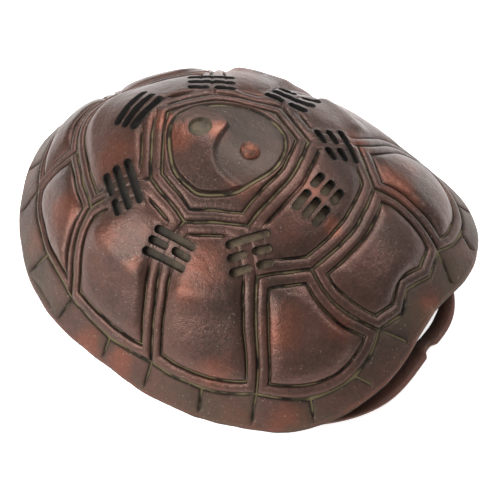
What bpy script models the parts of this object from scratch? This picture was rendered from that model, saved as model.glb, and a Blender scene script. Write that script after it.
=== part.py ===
"""Cast bronze turtle shell: a domed upper shell with carved scutes and the under-plate that carries it.

Lengths are millimetres until a mesh is finished. The head end is +X, up is +Z, and the floor is at z = 0.
Outlines on the dome are drawn flat, on a chart: a point's bearing there is its bearing in plan, and its
distance from the crown is what a tape laid over the dome would read. `lift` lays the chart over the dome.
"""

import math

import bmesh
import bpy
import numpy as np
from mathutils import Vector

MM = 0.001

# The rim of the upper shell every 20 degrees, from the head round to the tail. Both sides are alike.
RIM_STEP = 20.0
RIM_RADIUS = np.array([73.8, 78.2, 77.0, 68.8, 63.3, 60.1, 61.9, 64.0, 66.3, 68.2])
RIM_HEIGHT = np.array([25.4, 20.4, 12.7, 9.9, 10.5, 11.5, 12.1, 13.6, 16.4, 18.3])
FULLNESS = np.array([1.76, 1.87, 2.07, 2.2, 2.3, 2.5, 2.73, 2.7, 2.46, 2.3])
CROWN_HEIGHT = 60.5
FLARE = 0.08  # share of the fall that comes in the last of the way to the rim
KEEL_HEIGHT = 3.6
KEEL_TAPER = 0.04
KEEL_WIDTH = 14.0
TAPE_STEPS = 20
CENTRE_SHIFT = -3.2  # puts the middle of the length at x = 0

# Levels, measured square to the dome from the bottom of the seams.
WALL = 2.6
BAND_LEVEL = 1.1
GROOVE_LEVEL = 0.3
FIELD_LEVEL = 1.1
SHOULDER_LEVEL = 1.8
FIELD_CROWN_LEVEL = 2.2
SHOULDER_SHARE = 0.84
FIELD_CROWN_SHARE = 0.6
MARGIN_LEVEL = 0.9
SLOT_FLOOR = -0.8
SLOT_TOP = 4.5

# Widths across the seams, bands and grooves.
SEAM_HALF = 0.75
BAND = 2.9
NARROW_BANDS = {"crown": 2.5, "vertebral 4": 2.2, "vertebral 5": 1.7, "costal 4": 1.7}
GROOVE_HALF = 0.65
EDGE_LENGTH = 10.0

# The eight corners of the middle scute, from the right-hand side round by the head.
CROWN_CORNERS = {
    "k0": (0.4, -29.1),
    "k1": (20.0, -20.7),
    "k2": (22.8, 0.9),
    "k3": (19.4, 18.4),
    "k4": (4.0, 27.8),
    "k5": (-15.9, 17.6),
    "k6": (-27.8, 2.5),
    "k7": (-16.5, -21.2),
}
CROWN_CUTS = 3  # extra points on each side of it, so that its frame can turn round
# Seam points on the midline.
MIDDLE_POINTS = {"s0": (48.0, 0.0), "m0": (76.8, 0.0), "t0": (-58.0, 0.0), "m20": (-75.2, 0.0)}
# Seam points on one side, made on both: letters a to c between costal scutes, d towards the tail,
# f towards the head, m along the marginal scutes. The left side has its own places for a few of them.
SIDE_POINTS = {
    "v1": (44.5, 19.8), "v2": (31.2, 32.4), "s1": (46.6, 12.1), "f1": (52.3, 23.6), "f2": (63.1, 24.0),
    "n1": (73.0, 20.1), "a1": (34.0, 38.7), "a2": (41.3, 48.7), "a3": (47.9, 57.5), "a4": (50.7, 63.4),
    "b1": (-0.6, 37.5), "b2": (-0.3, 45.9), "b3": (1.9, 55.4), "b4": (5.0, 64.6), "b5": (8.8, 74.2),
    "c0": (-34.6, 34.9), "c1": (-37.2, 41.8), "c2": (-37.2, 49.3), "c4": (-33.8, 65.1),
    "d2": (-45.3, 23.8), "d3": (-53.1, 14.9), "d4": (-60.5, 18.9), "d5": (-68.6, 26.9),
    "t1": (-56.8, 7.5), "m1": (75.2, 10.5), "m2": (75.9, 27.5), "m3": (75.6, 37.5), "m4": (72.8, 45.7),
    "m5": (67.6, 53.1), "m6": (61.0, 58.2), "m7": (41.5, 69.2), "m8": (31.5, 72.8), "m9": (20.1, 74.7),
    "m10": (-1.8, 74.8), "m11": (-12.6, 73.6), "m12": (-23.8, 69.9), "m14": (-51.5, 52.0),
    "m15": (-58.4, 44.9), "m16": (-64.3, 37.2), "m17": (-72.1, 20.7), "m18": (-74.3, 13.8),
    "m19": (-75.0, 6.5),
}
LEFT_POINTS = {
    "a2": (36.6, 50.0), "a3": (42.8, 59.4), "c0": (-28.4, 36.2), "c1": (-32.5, 43.0), "c2": (-35.5, 50.0),
}
# Scutes as runs of points. A point with no sign is on the midline or the middle scute, and - and + are
# the right-hand and left-hand sides.
MIDDLE_SCUTES = {
    "vertebral 1": "v1- s1- s0 s1+ v1+ f1+ f2+ n1+ m1+ m0 m1- n1- f2- f1-",
    "vertebral 2": "k1 v2- v1- s1- s0 s1+ v1+ v2+ k3 k2",
    "vertebral 4": "k7 k6 k5 c0+ d2+ d3+ t1+ t0 t1- d3- d2- c0-",
    "vertebral 5": "d3- t1- t0 t1+ d3+ d4+ d5+ m17+ m18+ m19+ m20 m19- m18- m17- d5- d4-",
}
COSTALS = {
    "costal 1": "v2* a1* a2* a3* a4* m6* m5* m4* m3* m2* n1* f2* f1* v1*",
    "costal 2": "{near} {front} v2* a1* a2* a3* a4* m7* m8* m9* b5* b4* b3* b2* b1*",
    "costal 3": "{rear} {near} b1* b2* b3* b4* b5* m10* m11* m12* c4* c2* c1* c0*",
    "costal 4": "c0* c1* c2* c4* m14* m15* m16* d5* d4* d3* d2*",
}
CROWN_ENDS = {"-": ("k1", "k0", "k7"), "+": ("k3", "k4", "k5")}
MARGINALS = (
    "n1 m2 m3", "m3 m4 m5", "m5 m6 a4", "a4 m7 m8", "m8 m9 b5", "b5 m10 m11",
    "m11 m12 c4", "c4 m14", "m14 m15 m16 d5", "d5 m17 m18",
)
END_MARGINALS = ("n1- m1- m0 m1+ n1+", "m18+ m19+ m20 m19- m18-")
# Bearings at which the seams between marginal scutes end, where they aren't straight out from the crown.
SEAM_BEARINGS = {
    "n1": 10.6, "m3": 24.0, "m5": 38.5, "a4": 52.7, "m8": 66.9, "b5": 83.7, "m11": 99.8, "c4": 118.6,
    "m14": 137.0, "d5": 156.5, "m18": 170.0,
}
SEAM_END = 0.955  # marginal seams stop here, as a share of the way to the rim
LIP = 0.98
# The turned-in edge of the rim and the inside of the shell: share of the way to the rim, and level.
RIM_SECTION = ((1.0, 0.3), (1.0, -1.3), (0.982, -2.3))
INSIDE_SHARES = (0.92, 0.72, 0.42)

# The disc on the middle scute.
# Radius of its ring groove every 30 degrees, from the tail round by the right-hand side.
RING_RADII = (20.0, 18.4, 19.4, 19.8, 18.1, 16.5, 16.9, 18.1, 19.7, 19.4, 17.2, 17.8)
RING_HALF = 0.8
RING_WALL = 0.4
RING_LEVEL = -0.5
RAISED_LEVEL = 1.7
LOW_LEVEL = 0.5
DISC_GRID = 6.0
COMMA_EDGE = (
    (-12.8, 8.9), (-9.8, 9.2), (-6.6, 8.3), (-3.0, 6.2), (-2.6, 3.2), (-1.8, -0.6),
    (-0.6, -3.6), (1.5, -6.3), (4.3, -8.3), (7.8, -9.3), (11.0, -9.7),
)
COMMA_TIPS = (150.0, -36.0)  # bearings where the edge between the commas meets the ring
COMMA_SLOPE = 0.9
DISC_TOP = 1  # marks the faces of the disc while its grid is cut
EYE_CENTRE = (-9.8, -0.2)
EYE_RADIUS = 3.7
EYE_LEVEL = 0.6
BOSS_CENTRE = (7.4, 1.1)
BOSS_RADIUS = 3.3
BOSS_RISE = 1.9

# Groups of sunk bars: middle of each row, its direction in degrees, its length and, where it is broken in
# two, how far the break is from the middle.
BAR_WIDTH = 2.5
BAR_BREAK = 1.8
BAR_POINT = 0.8
BARS = (
    ((-29.5, 0.0), 84, 15.2, None), ((-33.2, 0.5), 86, 15.6, None), ((-37.1, 1.5), 89, 16.4, None),
    ((-21.1, -23.5), -44, 16.8, None), ((-24.0, -26.4), -44, 17.0, None), ((-26.7, -29.3), -44, 16.6, 1.5),
    ((0.6, -34.8), -2, 16.0, None), ((0.5, -38.4), -2, 16.6, 0.1), ((0.1, -42.1), -1, 17.0, None),
    ((22.1, -24.2), 48, 14.8, None), ((25.0, -27.6), 46, 14.8, 0.1), ((27.9, -31.0), 46, 14.8, 0.8),
    ((29.4, 0.1), 88, 16.8, 1.1), ((33.3, 0.1), 88, 17.3, 0.9), ((37.2, -0.1), 88, 17.0, 0.9),
    ((23.9, 21.1), -35, 13.8, 0.5), ((26.7, 24.4), -37, 14.2, 0.6), ((29.3, 27.7), -41, 15.4, None),
    ((3.5, 31.4), 8, 15.4, 0.0), ((3.6, 36.6), 11, 15.4, None), ((3.0, 42.0), 12, 15.4, 0.0),
    ((-18.4, 20.2), 28, 15.4, 0.0), ((-20.7, 23.8), 28, 15.4, None), ((-23.2, 27.4), 28, 15.4, None),
)

# The under-plate: bearing, radius and height of its upper edge, and radius of its foot, on the right.
PLATE_STATIONS = (
    (0.0, 71.2, 6.3, 60.0), (1.2, 71.4, 6.4, 60.2), (2.6, 72.7, 6.5, 60.5), (10.0, 74.2, 6.5, 61.0),
    (17.0, 75.6, 6.5, 61.5), (24.0, 75.2, 6.5, 61.5), (31.0, 73.4, 6.6, 61.0), (39.0, 71.0, 7.0, 58.5),
    (46.0, 69.6, 8.2, 55.5), (53.0, 67.6, 9.0, 52.0), (62.0, 64.5, 8.9, 48.5), (72.0, 61.6, 9.1, 45.5),
    (82.0, 59.0, 9.5, 43.5), (92.0, 57.4, 10.0, 42.5), (102.0, 56.6, 10.4, 42.5), (112.0, 57.2, 10.8, 43.5),
    (122.0, 58.0, 11.0, 45.0), (131.0, 58.6, 9.6, 46.5), (140.0, 59.2, 7.2, 48.5), (150.0, 60.4, 6.0, 51.0),
    (160.0, 61.4, 5.6, 53.0), (168.0, 61.6, 5.5, 53.5), (174.0, 60.6, 5.4, 53.0), (180.0, 58.6, 5.4, 52.5),
)
LEFT_EDGE = {17.0: 73.0, 24.0: 70.6, 31.0: 70.2, 39.0: 70.0}  # radius of its upper edge on the left
NOTCH_TURN = 1.0  # the notch in the front lip sits a little to the left
PLATE_FLOOR = 2.8
LIP_WIDTH = 4.7
LIP_ROUND = 0.8
FOOT_ROUND = 1.5
# The opening behind the front lip, one side of it.
OPENING = ((67.4, 0.0), (67.8, 10.0), (66.4, 18.0), (62.5, 20.5), (52.0, 19.0), (47.0, 13.0), (46.0, 0.0))
OPENING_TOP = 12.0

BRONZE = (0.075, 0.032, 0.022)
PLATE_BRONZE = (0.06, 0.028, 0.02)


def clear_scene() -> None:
    """Removes whatever the scene starts with."""
    for old in list(bpy.data.objects):
        bpy.data.objects.remove(old)


def bronze(name: str, colour: tuple[float, float, float]) -> bpy.types.Material:
    """A dark polished bronze."""
    material = bpy.data.materials.new(name)
    material.use_nodes = True
    shader = material.node_tree.nodes["Principled BSDF"]
    shader.inputs["Base Color"].default_value = (*colour, 1.0)
    shader.inputs["Roughness"].default_value = 0.4
    shader.inputs["Metallic"].default_value = 0.7
    return material


def at_bearing(stations: np.ndarray, bearing: np.ndarray) -> np.ndarray:
    """A smooth curve through the stations, read at bearings in radians."""
    turned = np.abs(np.degrees(bearing)) / RIM_STEP
    last = len(stations) - 1
    start = np.clip(np.floor(turned).astype(int), 0, last - 1)
    share = turned - start

    def station(index: np.ndarray) -> np.ndarray:
        index = np.abs(index)
        return stations[np.where(index > last, 2 * last - index, index)]

    before, here, after, beyond = (station(start + step) for step in (-1, 0, 1, 2))
    bend = 2 * before - 5 * here + 4 * after - beyond + share * (3 * (here - after) + beyond - before)
    return here + 0.5 * share * (after - before + share * bend)


def dome(x: np.ndarray, y: np.ndarray) -> np.ndarray:
    """Height of the bottom of the seams above the floor."""
    bearing = np.arctan2(y, x)
    share = np.hypot(x, y) / at_bearing(RIM_RADIUS, bearing)
    rim = at_bearing(RIM_HEIGHT, bearing)
    fall = (1 - FLARE) * share ** at_bearing(FULLNESS, bearing) + FLARE * share**8
    keel = (KEEL_HEIGHT - KEEL_TAPER * x) * (1 - share**2) * np.exp(-((y / KEEL_WIDTH) ** 2))
    return rim + (CROWN_HEIGHT - rim) * (1 - fall) + np.maximum(keel, 0.0)


def pace(radius: np.ndarray, across: np.ndarray, along: np.ndarray) -> np.ndarray:
    """Plan distance covered for each millimetre of tape, at a radius on a bearing."""
    probe = 0.1
    near = np.maximum(radius - probe, 1e-6)
    rise = dome((radius + probe) * across, (radius + probe) * along) - dome(near * across, near * along)
    return 1 / np.hypot(1.0, rise / (radius + probe - near))


def plan(chart: np.ndarray) -> np.ndarray:
    """Plan positions of chart points, found by walking out from the crown along each bearing."""
    distance = np.maximum(np.hypot(chart[:, 0], chart[:, 1]), 1e-6)
    across = chart[:, 0] / distance
    along = chart[:, 1] / distance
    step = distance / TAPE_STEPS
    radius = np.zeros_like(distance)
    for _ in range(TAPE_STEPS):
        half = radius + 0.5 * step * pace(radius, across, along)
        radius = radius + step * pace(half, across, along)
    return np.stack([radius * across, radius * along], axis=1)


def lift(chart: np.ndarray, levels: np.ndarray) -> np.ndarray:
    """Chart points laid over the dome, each at its level square to it."""
    ground = plan(chart)
    x, y = ground[:, 0], ground[:, 1]
    probe = 0.2
    slope_x = (dome(x + probe, y) - dome(x - probe, y)) / (2 * probe)
    slope_y = (dome(x, y + probe) - dome(x, y - probe)) / (2 * probe)
    normals = np.stack([-slope_x, -slope_y, np.ones_like(x)], axis=1)
    normals /= np.linalg.norm(normals, axis=1)[:, None]
    return np.stack([x, y, dome(x, y)], axis=1) + normals * levels[:, None]


def rim_reach(bearing: float) -> float:
    """Tape distance from the crown to the rim."""
    rim = float(at_bearing(RIM_RADIUS, np.array(bearing)))
    radii = np.linspace(0.0, rim, 60)
    heights = dome(radii * math.cos(bearing), radii * math.sin(bearing))
    return float(np.hypot(np.diff(radii), np.diff(heights)).sum())


def toward_rim(bearing: float, share: float) -> tuple[float, float]:
    """Chart point a share of the way from the crown to the rim."""
    reach = share * rim_reach(bearing)
    return reach * math.cos(bearing), reach * math.sin(bearing)


class Chart:
    """A flat mesh of scutes. Each vertex's z is its level until the mesh is laid over the dome."""

    def __init__(self) -> None:
        self.mesh = bmesh.new()
        self.points = {}

    def point(self, name: str, place: tuple[float, float], level: float = 0.0) -> None:
        """Adds a named point, at seam level unless told."""
        self.points[name] = self.mesh.verts.new((*place, level))

    def face(self, names: list[str]) -> bmesh.types.BMFace:
        """Adds a face through named points, turned to face up."""
        face = self.mesh.faces.new([self.points[name] for name in names])
        face.normal_update()
        if face.normal.z < 0:
            face.normal_flip()
        return face

    def inset(self, faces: list, width: float, level: float) -> None:
        """Steps every face in from its outline and puts the smaller face at a level."""
        levels = {vertex: vertex.co.z for face in faces for vertex in face.verts}
        for vertex in levels:
            vertex.co.z = 0.0
        bmesh.ops.inset_individual(self.mesh, faces=faces, thickness=width, use_even_offset=True)
        for vertex, kept in levels.items():
            vertex.co.z = kept
        for face in faces:
            for vertex in face.verts:
                vertex.co.z = level

    def shrink(self, face: bmesh.types.BMFace, share: float, level: float) -> None:
        """Steps one face in towards its middle, keeping a share of its size."""
        self.inset([face], 0.05, level)
        face.normal_update()
        middle = face.calc_center_median_weighted()
        for vertex in face.verts:
            vertex.co.xy = middle.xy.lerp(vertex.co.xy, share)

    def strip(self, start: bmesh.types.BMEdge) -> list:
        """Every edge side by side with this one, across four-sided faces."""
        found = [start]
        for face in start.link_faces:
            edge = start
            while face and len(face.verts) == 4:
                edge = next(other for other in face.edges if not set(other.verts) & set(edge.verts))
                if edge in found:
                    break
                found.append(edge)
                face = next((other for other in edge.link_faces if other is not face), None)
        return found

    def split_long_edges(self) -> None:
        """Halves long edges, with the strips they belong to, until they follow the dome."""
        longest = max(self.mesh.edges, key=bmesh.types.BMEdge.calc_length)
        while longest.calc_length() > EDGE_LENGTH:
            bmesh.ops.subdivide_edges(self.mesh, edges=self.strip(longest), cuts=1, use_grid_fill=True)
            longest = max(self.mesh.edges, key=bmesh.types.BMEdge.calc_length)

    def lay_over_dome(self) -> None:
        """Moves every vertex from the chart to its place on the dome."""
        vertices = list(self.mesh.verts)
        flat = np.array([vertex.co for vertex in vertices])
        for vertex, place in zip(vertices, lift(flat[:, :2], flat[:, 2])):
            vertex.co = place


def sided(run: str, side: str) -> list[str]:
    """Names in a run, with each star turned into a side."""
    near, front, rear = CROWN_ENDS[side][1], CROWN_ENDS[side][0], CROWN_ENDS[side][2]
    return run.format(near=near, front=front, rear=rear).replace("*", side).split()


def with_crown_cuts(names: list[str]) -> list[str]:
    """A run with the extra points put in along the sides of the middle scute."""
    corners = list(CROWN_CORNERS)
    whole = []
    for name, after in zip(names, names[1:] + names[:1]):
        whole.append(name)
        if name in corners and after in corners:
            forward = corners[(corners.index(name) + 1) % len(corners)] == after
            cuts = [f"{name if forward else after}.{cut}" for cut in range(1, CROWN_CUTS + 1)]
            whole += cuts if forward else reversed(cuts)
    return whole


def add_points(chart: Chart) -> None:
    """Places every seam point, and the points where the marginal scutes end."""
    for name, place in (CROWN_CORNERS | MIDDLE_POINTS).items():
        chart.point(name, place)
    corners = list(CROWN_CORNERS)
    for name, after in zip(corners, corners[1:] + corners[:1]):
        start, goal = Vector(CROWN_CORNERS[name]), Vector(CROWN_CORNERS[after])
        for cut in range(1, CROWN_CUTS + 1):
            chart.point(f"{name}.{cut}", start.lerp(goal, cut / (CROWN_CUTS + 1)))
    for name, (x, y) in SIDE_POINTS.items():
        chart.point(name + "-", (x, -y))
        chart.point(name + "+", LEFT_POINTS.get(name, (x, y)))
    ends = {name.strip("+-") for run in (*MARGINALS, *END_MARGINALS) for name in run.split()}
    for name in sorted(ends):
        x, y = (SIDE_POINTS | MIDDLE_POINTS)[name]
        bearing = math.radians(SEAM_BEARINGS.get(name, math.degrees(math.atan2(y, x))))
        for side, turn in (("", 1),) if name in MIDDLE_POINTS else (("-", -1), ("+", 1)):
            chart.point(f"end {name}{side}", toward_rim(turn * bearing, LIP), MARGIN_LEVEL)
            if name in SEAM_BEARINGS:
                chart.point(f"stop {name}{side}", toward_rim(turn * bearing, SEAM_END))


def marginal_run(names: list[str]) -> list[str]:
    """A marginal scute's outline: in along the seam, out to the rim and back."""
    first, last = names[0], names[-1]
    ends = [f"end {name}" for name in reversed(names)]
    return [*names, f"stop {last}", *ends, f"stop {first}"]


def carve_disc(chart: Chart, crown: bmesh.types.BMFace) -> None:
    """Rounds the middle scute's frame to a ring groove and shapes the disc of two commas inside it."""
    steps = (
        (RING_HALF, BAND_LEVEL), (RING_HALF - RING_WALL, RING_LEVEL), (RING_WALL - RING_HALF, RING_LEVEL),
        (-RING_HALF, LOW_LEVEL),
    )
    for offset, level in steps:
        chart.inset([crown], 0.05, level)
        for vertex in crown.verts:
            vertex.co.xy = vertex.co.xy.normalized() * (ring_radius(vertex.co) + offset)
    tips = [min(crown.verts, key=lambda v, b=bearing: off_bearing(v, b)) for bearing in COMMA_TIPS]
    path = [(x, y, LOW_LEVEL) for x, y in COMMA_EDGE]
    other = bmesh.utils.face_split(crown, tips[0], tips[1], coords=path)[0]
    raised, low = sorted((crown, other), key=lambda face: face.calc_center_median().x)
    chart.inset([raised], COMMA_SLOPE, RAISED_LEVEL)
    raised.material_index = DISC_TOP
    low.material_index = DISC_TOP
    cuts = [step * DISC_GRID for step in (-2, -1, 0, 1, 2)]
    for normal in ((1.0, 0.0, 0.0), (0.0, 1.0, 0.0)):
        for cut in cuts:
            tops = [face for face in chart.mesh.faces if face.material_index == DISC_TOP]
            parts = {part for face in tops for part in (face, *face.edges, *face.verts)}
            place = [cut * component for component in normal]
            bmesh.ops.bisect_plane(chart.mesh, geom=list(parts), plane_co=place, plane_no=normal)
    for face in chart.mesh.faces:
        face.material_index = 0


def ring_radius(place: Vector) -> float:
    """Distance from the crown to the middle of the ring groove on the way to a place."""
    bearing = math.degrees(math.atan2(place.y, place.x))
    return float(np.interp(bearing, np.arange(-180.0, 180.0, 30.0), RING_RADII, period=360.0))


def off_bearing(vertex: bmesh.types.BMVert, bearing: float) -> float:
    """How far a vertex is from a bearing in degrees."""
    return abs(math.degrees(math.atan2(vertex.co.y, vertex.co.x)) - bearing)


def close_underneath(chart: Chart) -> None:
    """Turns the rim in and lines the inside of the shell."""
    edges = [edge for edge in chart.mesh.edges if edge.is_boundary]
    rim = {vertex for edge in edges for vertex in edge.verts}
    bearings = {vertex: math.atan2(vertex.co.y, vertex.co.x) for vertex in rim}
    for vertex, bearing in bearings.items():
        vertex.co.xy = toward_rim(bearing, LIP)
    inside = [(share, -WALL) for share in INSIDE_SHARES]
    for share, level in (*RIM_SECTION, *inside):
        made = bmesh.ops.extrude_edge_only(chart.mesh, edges=edges)["geom"]
        edges = [part for part in made if isinstance(part, bmesh.types.BMEdge)]
        for vertex in (part for part in made if isinstance(part, bmesh.types.BMVert)):
            bearing = math.atan2(vertex.co.y, vertex.co.x)
            vertex.co = (*toward_rim(bearing, share), level)
    cap = bmesh.ops.contextual_create(chart.mesh, geom=edges)["faces"]
    middle = bmesh.ops.poke(chart.mesh, faces=cap)["verts"][0]
    middle.co = (0.0, 0.0, -WALL)


def scute_chart() -> Chart:
    """The upper shell drawn on the chart, with every scute stepped, bulged or carved."""
    chart = Chart()
    add_points(chart)
    scutes = {"crown": [chart.face(with_crown_cuts(list(CROWN_CORNERS)))]}
    for name, run in MIDDLE_SCUTES.items():
        scutes[name] = [chart.face(with_crown_cuts(run.split()))]
    for name, run in COSTALS.items():
        scutes[name] = [chart.face(with_crown_cuts(sided(run, side))) for side in CROWN_ENDS]
    margins = [
        chart.face(marginal_run([name + side for name in run.split()])) for run in MARGINALS for side in "-+"
    ]
    margins += [chart.face(marginal_run(run.split())) for run in END_MARGINALS]
    chart.inset(margins, SEAM_HALF, MARGIN_LEVEL)
    for name, faces in scutes.items():
        chart.inset(faces, SEAM_HALF, BAND_LEVEL)
        chart.inset(faces, NARROW_BANDS.get(name, BAND), BAND_LEVEL)
        chart.inset(faces, GROOVE_HALF, GROOVE_LEVEL)
        chart.inset(faces, GROOVE_HALF, FIELD_LEVEL)
    fields = [face for name, faces in scutes.items() if name != "crown" for face in faces]
    for face in fields:
        chart.shrink(face, SHOULDER_SHARE, SHOULDER_LEVEL)
        chart.shrink(face, FIELD_CROWN_SHARE, FIELD_CROWN_LEVEL)
    carve_disc(chart, scutes["crown"][0])
    chart.split_long_edges()
    for vertex in bmesh.ops.poke(chart.mesh, faces=fields)["verts"]:
        vertex.co.z = FIELD_CROWN_LEVEL
    close_underneath(chart)
    return chart


def finish(name: str, mesh: bmesh.types.BMesh, colour: tuple[float, float, float]) -> bpy.types.Object:
    """Makes an object of a closed mesh in millimetres."""
    bmesh.ops.recalc_face_normals(mesh, faces=mesh.faces)
    bmesh.ops.translate(mesh, verts=mesh.verts, vec=(CENTRE_SHIFT, 0.0, 0.0))
    bmesh.ops.scale(mesh, verts=mesh.verts, vec=(MM, MM, MM))
    data = bpy.data.meshes.new(name)
    mesh.to_mesh(data)
    mesh.free()
    data.materials.append(bronze(name, colour))
    data.shade_smooth()
    data.set_sharp_from_angle(angle=math.radians(35.0))
    made = bpy.data.objects.new(name, data)
    bpy.context.scene.collection.objects.link(made)
    return made


def combine(target: bpy.types.Object, helper: bpy.types.Object, operation: str) -> None:
    """Adds or cuts a helper with an exact Boolean and hides it."""
    helper.hide_render = True
    helper.display_type = "WIRE"
    modifier = target.modifiers.new(helper.name, "BOOLEAN")
    modifier.operation = operation
    modifier.solver = "EXACT"
    modifier.object = helper


def prism(mesh: bmesh.types.BMesh, outline: list[tuple[float, float]], floor: float, top: float) -> None:
    """Adds a closed prism that follows the dome between two levels."""
    base = mesh.faces.new([mesh.verts.new((*place, floor)) for place in outline])
    made = bmesh.ops.extrude_face_region(mesh, geom=[base])["geom"]
    for vertex in (part for part in made if isinstance(part, bmesh.types.BMVert)):
        vertex.co.z = top


def bar_outline(middle: tuple[float, float], turn: float, start: float, end: float) -> list:
    """A bar with blunted ends, between two places along its direction."""
    half = BAR_WIDTH / 2
    tip = half - BAR_POINT
    corners = (
        (start, -tip), (start + BAR_POINT, -half), (end - BAR_POINT, -half), (end, -tip),
        (end, tip), (end - BAR_POINT, half), (start + BAR_POINT, half), (start, tip),
    )
    cosine = math.cos(math.radians(turn))
    sine = math.sin(math.radians(turn))
    return [(middle[0] + s * cosine - t * sine, middle[1] + s * sine + t * cosine) for s, t in corners]


def over_dome(mesh: bmesh.types.BMesh) -> None:
    """Lays a helper over the dome."""
    flat = np.array([vertex.co for vertex in mesh.verts])
    for vertex, place in zip(mesh.verts, lift(flat[:, :2], flat[:, 2])):
        vertex.co = place


def slots() -> bpy.types.Object:
    """Cutters for every sunk bar."""
    mesh = bmesh.new()
    for middle, turn, length, broken_at in BARS:
        half = length / 2
        pieces = [(-half, half)]
        if broken_at is not None:
            pieces = [(-half, broken_at - BAR_BREAK / 2), (broken_at + BAR_BREAK / 2, half)]
        for start, end in pieces:
            prism(mesh, bar_outline(middle, turn, start, end), SLOT_FLOOR, SLOT_TOP)
    over_dome(mesh)
    return finish("slots", mesh, BRONZE)


def eye() -> bpy.types.Object:
    """Cutter for the round eye."""
    mesh = bmesh.new()
    turns = [math.radians(22.5 * step) for step in range(16)]
    x, y = EYE_CENTRE
    outline = [(x + EYE_RADIUS * math.cos(turn), y + EYE_RADIUS * math.sin(turn)) for turn in turns]
    prism(mesh, outline, EYE_LEVEL, SLOT_TOP)
    over_dome(mesh)
    return finish("eye", mesh, BRONZE)


def boss() -> bpy.types.Object:
    """The raised boss, a flattened ball half sunk in the low comma."""
    mesh = bmesh.new()
    bmesh.ops.create_uvsphere(mesh, u_segments=14, v_segments=7, radius=BOSS_RADIUS)
    middle = lift(np.array([BOSS_CENTRE]), np.array([LOW_LEVEL]))[0]
    bmesh.ops.scale(mesh, verts=mesh.verts, vec=(1.0, 1.0, BOSS_RISE / BOSS_RADIUS))
    bmesh.ops.translate(mesh, verts=mesh.verts, vec=middle)
    return finish("boss", mesh, BRONZE)


def carapace() -> None:
    """The upper shell."""
    chart = scute_chart()
    chart.lay_over_dome()
    shell = finish("carapace", chart.mesh, BRONZE)
    combine(shell, boss(), "UNION")
    combine(shell, eye(), "DIFFERENCE")
    combine(shell, slots(), "DIFFERENCE")


def opening() -> bpy.types.Object:
    """Cutter for the opening behind the front lip."""
    mesh = bmesh.new()
    outline = [*OPENING, *((x, -y) for x, y in reversed(OPENING[1:-1]))]
    prism(mesh, outline, -OPENING_TOP, OPENING_TOP)
    return finish("opening", mesh, PLATE_BRONZE)


def plastron() -> None:
    """The under-plate: a shallow tray on a flat foot, its edge raised at the flanks to meet the shell."""
    left = [(turn, LEFT_EDGE.get(turn, edge), height, foot) for turn, edge, height, foot in PLATE_STATIONS]
    right = [(-turn, edge, height, foot) for turn, edge, height, foot in reversed(PLATE_STATIONS[1:-1])]
    turns, edge, height, foot = np.array(left + right).T
    turns = np.radians(turns + NOTCH_TURN * (np.abs(turns) < 3.0))
    rings = (
        (foot, np.zeros_like(foot)),
        (foot + FOOT_ROUND, np.full_like(foot, FOOT_ROUND / 3)),
        (edge, height - LIP_ROUND),
        (edge - LIP_ROUND, height),
        (edge - LIP_WIDTH, height),
        (foot - FOOT_ROUND, np.full_like(foot, PLATE_FLOOR)),
    )
    mesh = bmesh.new()
    loops = []
    for radii, heights in rings:
        ring = bmesh.ops.create_circle(mesh, segments=len(turns), radius=1.0)["verts"]
        for vertex, turn, radius, level in zip(ring, turns, radii, heights):
            vertex.co = (radius * math.cos(turn), radius * math.sin(turn), level)
        loops.append(list({edge for vertex in ring for edge in vertex.link_edges}))
    for lower, upper in zip(loops, loops[1:]):
        bmesh.ops.bridge_loops(mesh, edges=lower + upper)
    for loop in (loops[0], loops[-1]):
        bmesh.ops.contextual_create(mesh, geom=loop)
    plate = finish("plastron", mesh, PLATE_BRONZE)
    combine(plate, opening(), "DIFFERENCE")


clear_scene()
carapace()
plastron()
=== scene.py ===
"""Finished surfaces of a cast bronze turtle shell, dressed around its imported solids.

The dome of the upper shell is drawn flat first, on a chart in millimetres: a point's bearing there is its
bearing in plan, its distance from the crown is what a tape laid over the dome would read, and its z is its
level above the bottom of the seams. The chart is stepped, rounded and cut while it is flat, and is then laid
over the dome. The head end is +X, up is +Z, and the floor is at z = 0.
"""

from __future__ import annotations

import functools
import logging
import math
from collections.abc import Iterable, Sequence
from dataclasses import dataclass, field, replace
from enum import Enum

import bmesh
import bpy
import numpy as np
from bmesh.types import BMEdge, BMesh, BMFace, BMVert
from bpy.types import ID, Material, Mesh, Node, NodeSocket, Object
from mathutils import Matrix, Vector, noise


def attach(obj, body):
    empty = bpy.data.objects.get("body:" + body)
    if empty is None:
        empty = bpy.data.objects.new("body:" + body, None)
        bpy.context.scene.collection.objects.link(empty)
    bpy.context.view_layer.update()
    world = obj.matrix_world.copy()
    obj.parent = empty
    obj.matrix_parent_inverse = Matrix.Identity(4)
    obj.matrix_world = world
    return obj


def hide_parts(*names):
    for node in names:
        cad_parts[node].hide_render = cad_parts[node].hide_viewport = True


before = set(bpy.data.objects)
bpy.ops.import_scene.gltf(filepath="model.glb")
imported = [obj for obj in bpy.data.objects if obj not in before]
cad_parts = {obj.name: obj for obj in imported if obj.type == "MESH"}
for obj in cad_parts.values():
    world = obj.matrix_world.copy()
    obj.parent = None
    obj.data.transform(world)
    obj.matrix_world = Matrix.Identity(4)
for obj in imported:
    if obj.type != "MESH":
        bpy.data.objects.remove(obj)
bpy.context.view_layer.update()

MM = 0.001
TINY = 1e-6
CENTRE_SHIFT = -3.2  # from the crown of the chart to the middle of the length, in mm
CREASE_LAYER = "crease_edge"  # what Subdivision Surface reads creases from
SEED_STEP = Vector((1.0, 0.7, 0.4))  # how far a noise moves for a seed of 1, in metres
Point = tuple[float, float]
Colour = tuple[float, float, float]
Numbers = np.ndarray
log = logging.getLogger("turtle_shell")


class Side(Enum):
    """A flank of the shell, written as the ending of its points' names."""

    RIGHT = "-"
    LEFT = "+"


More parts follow.
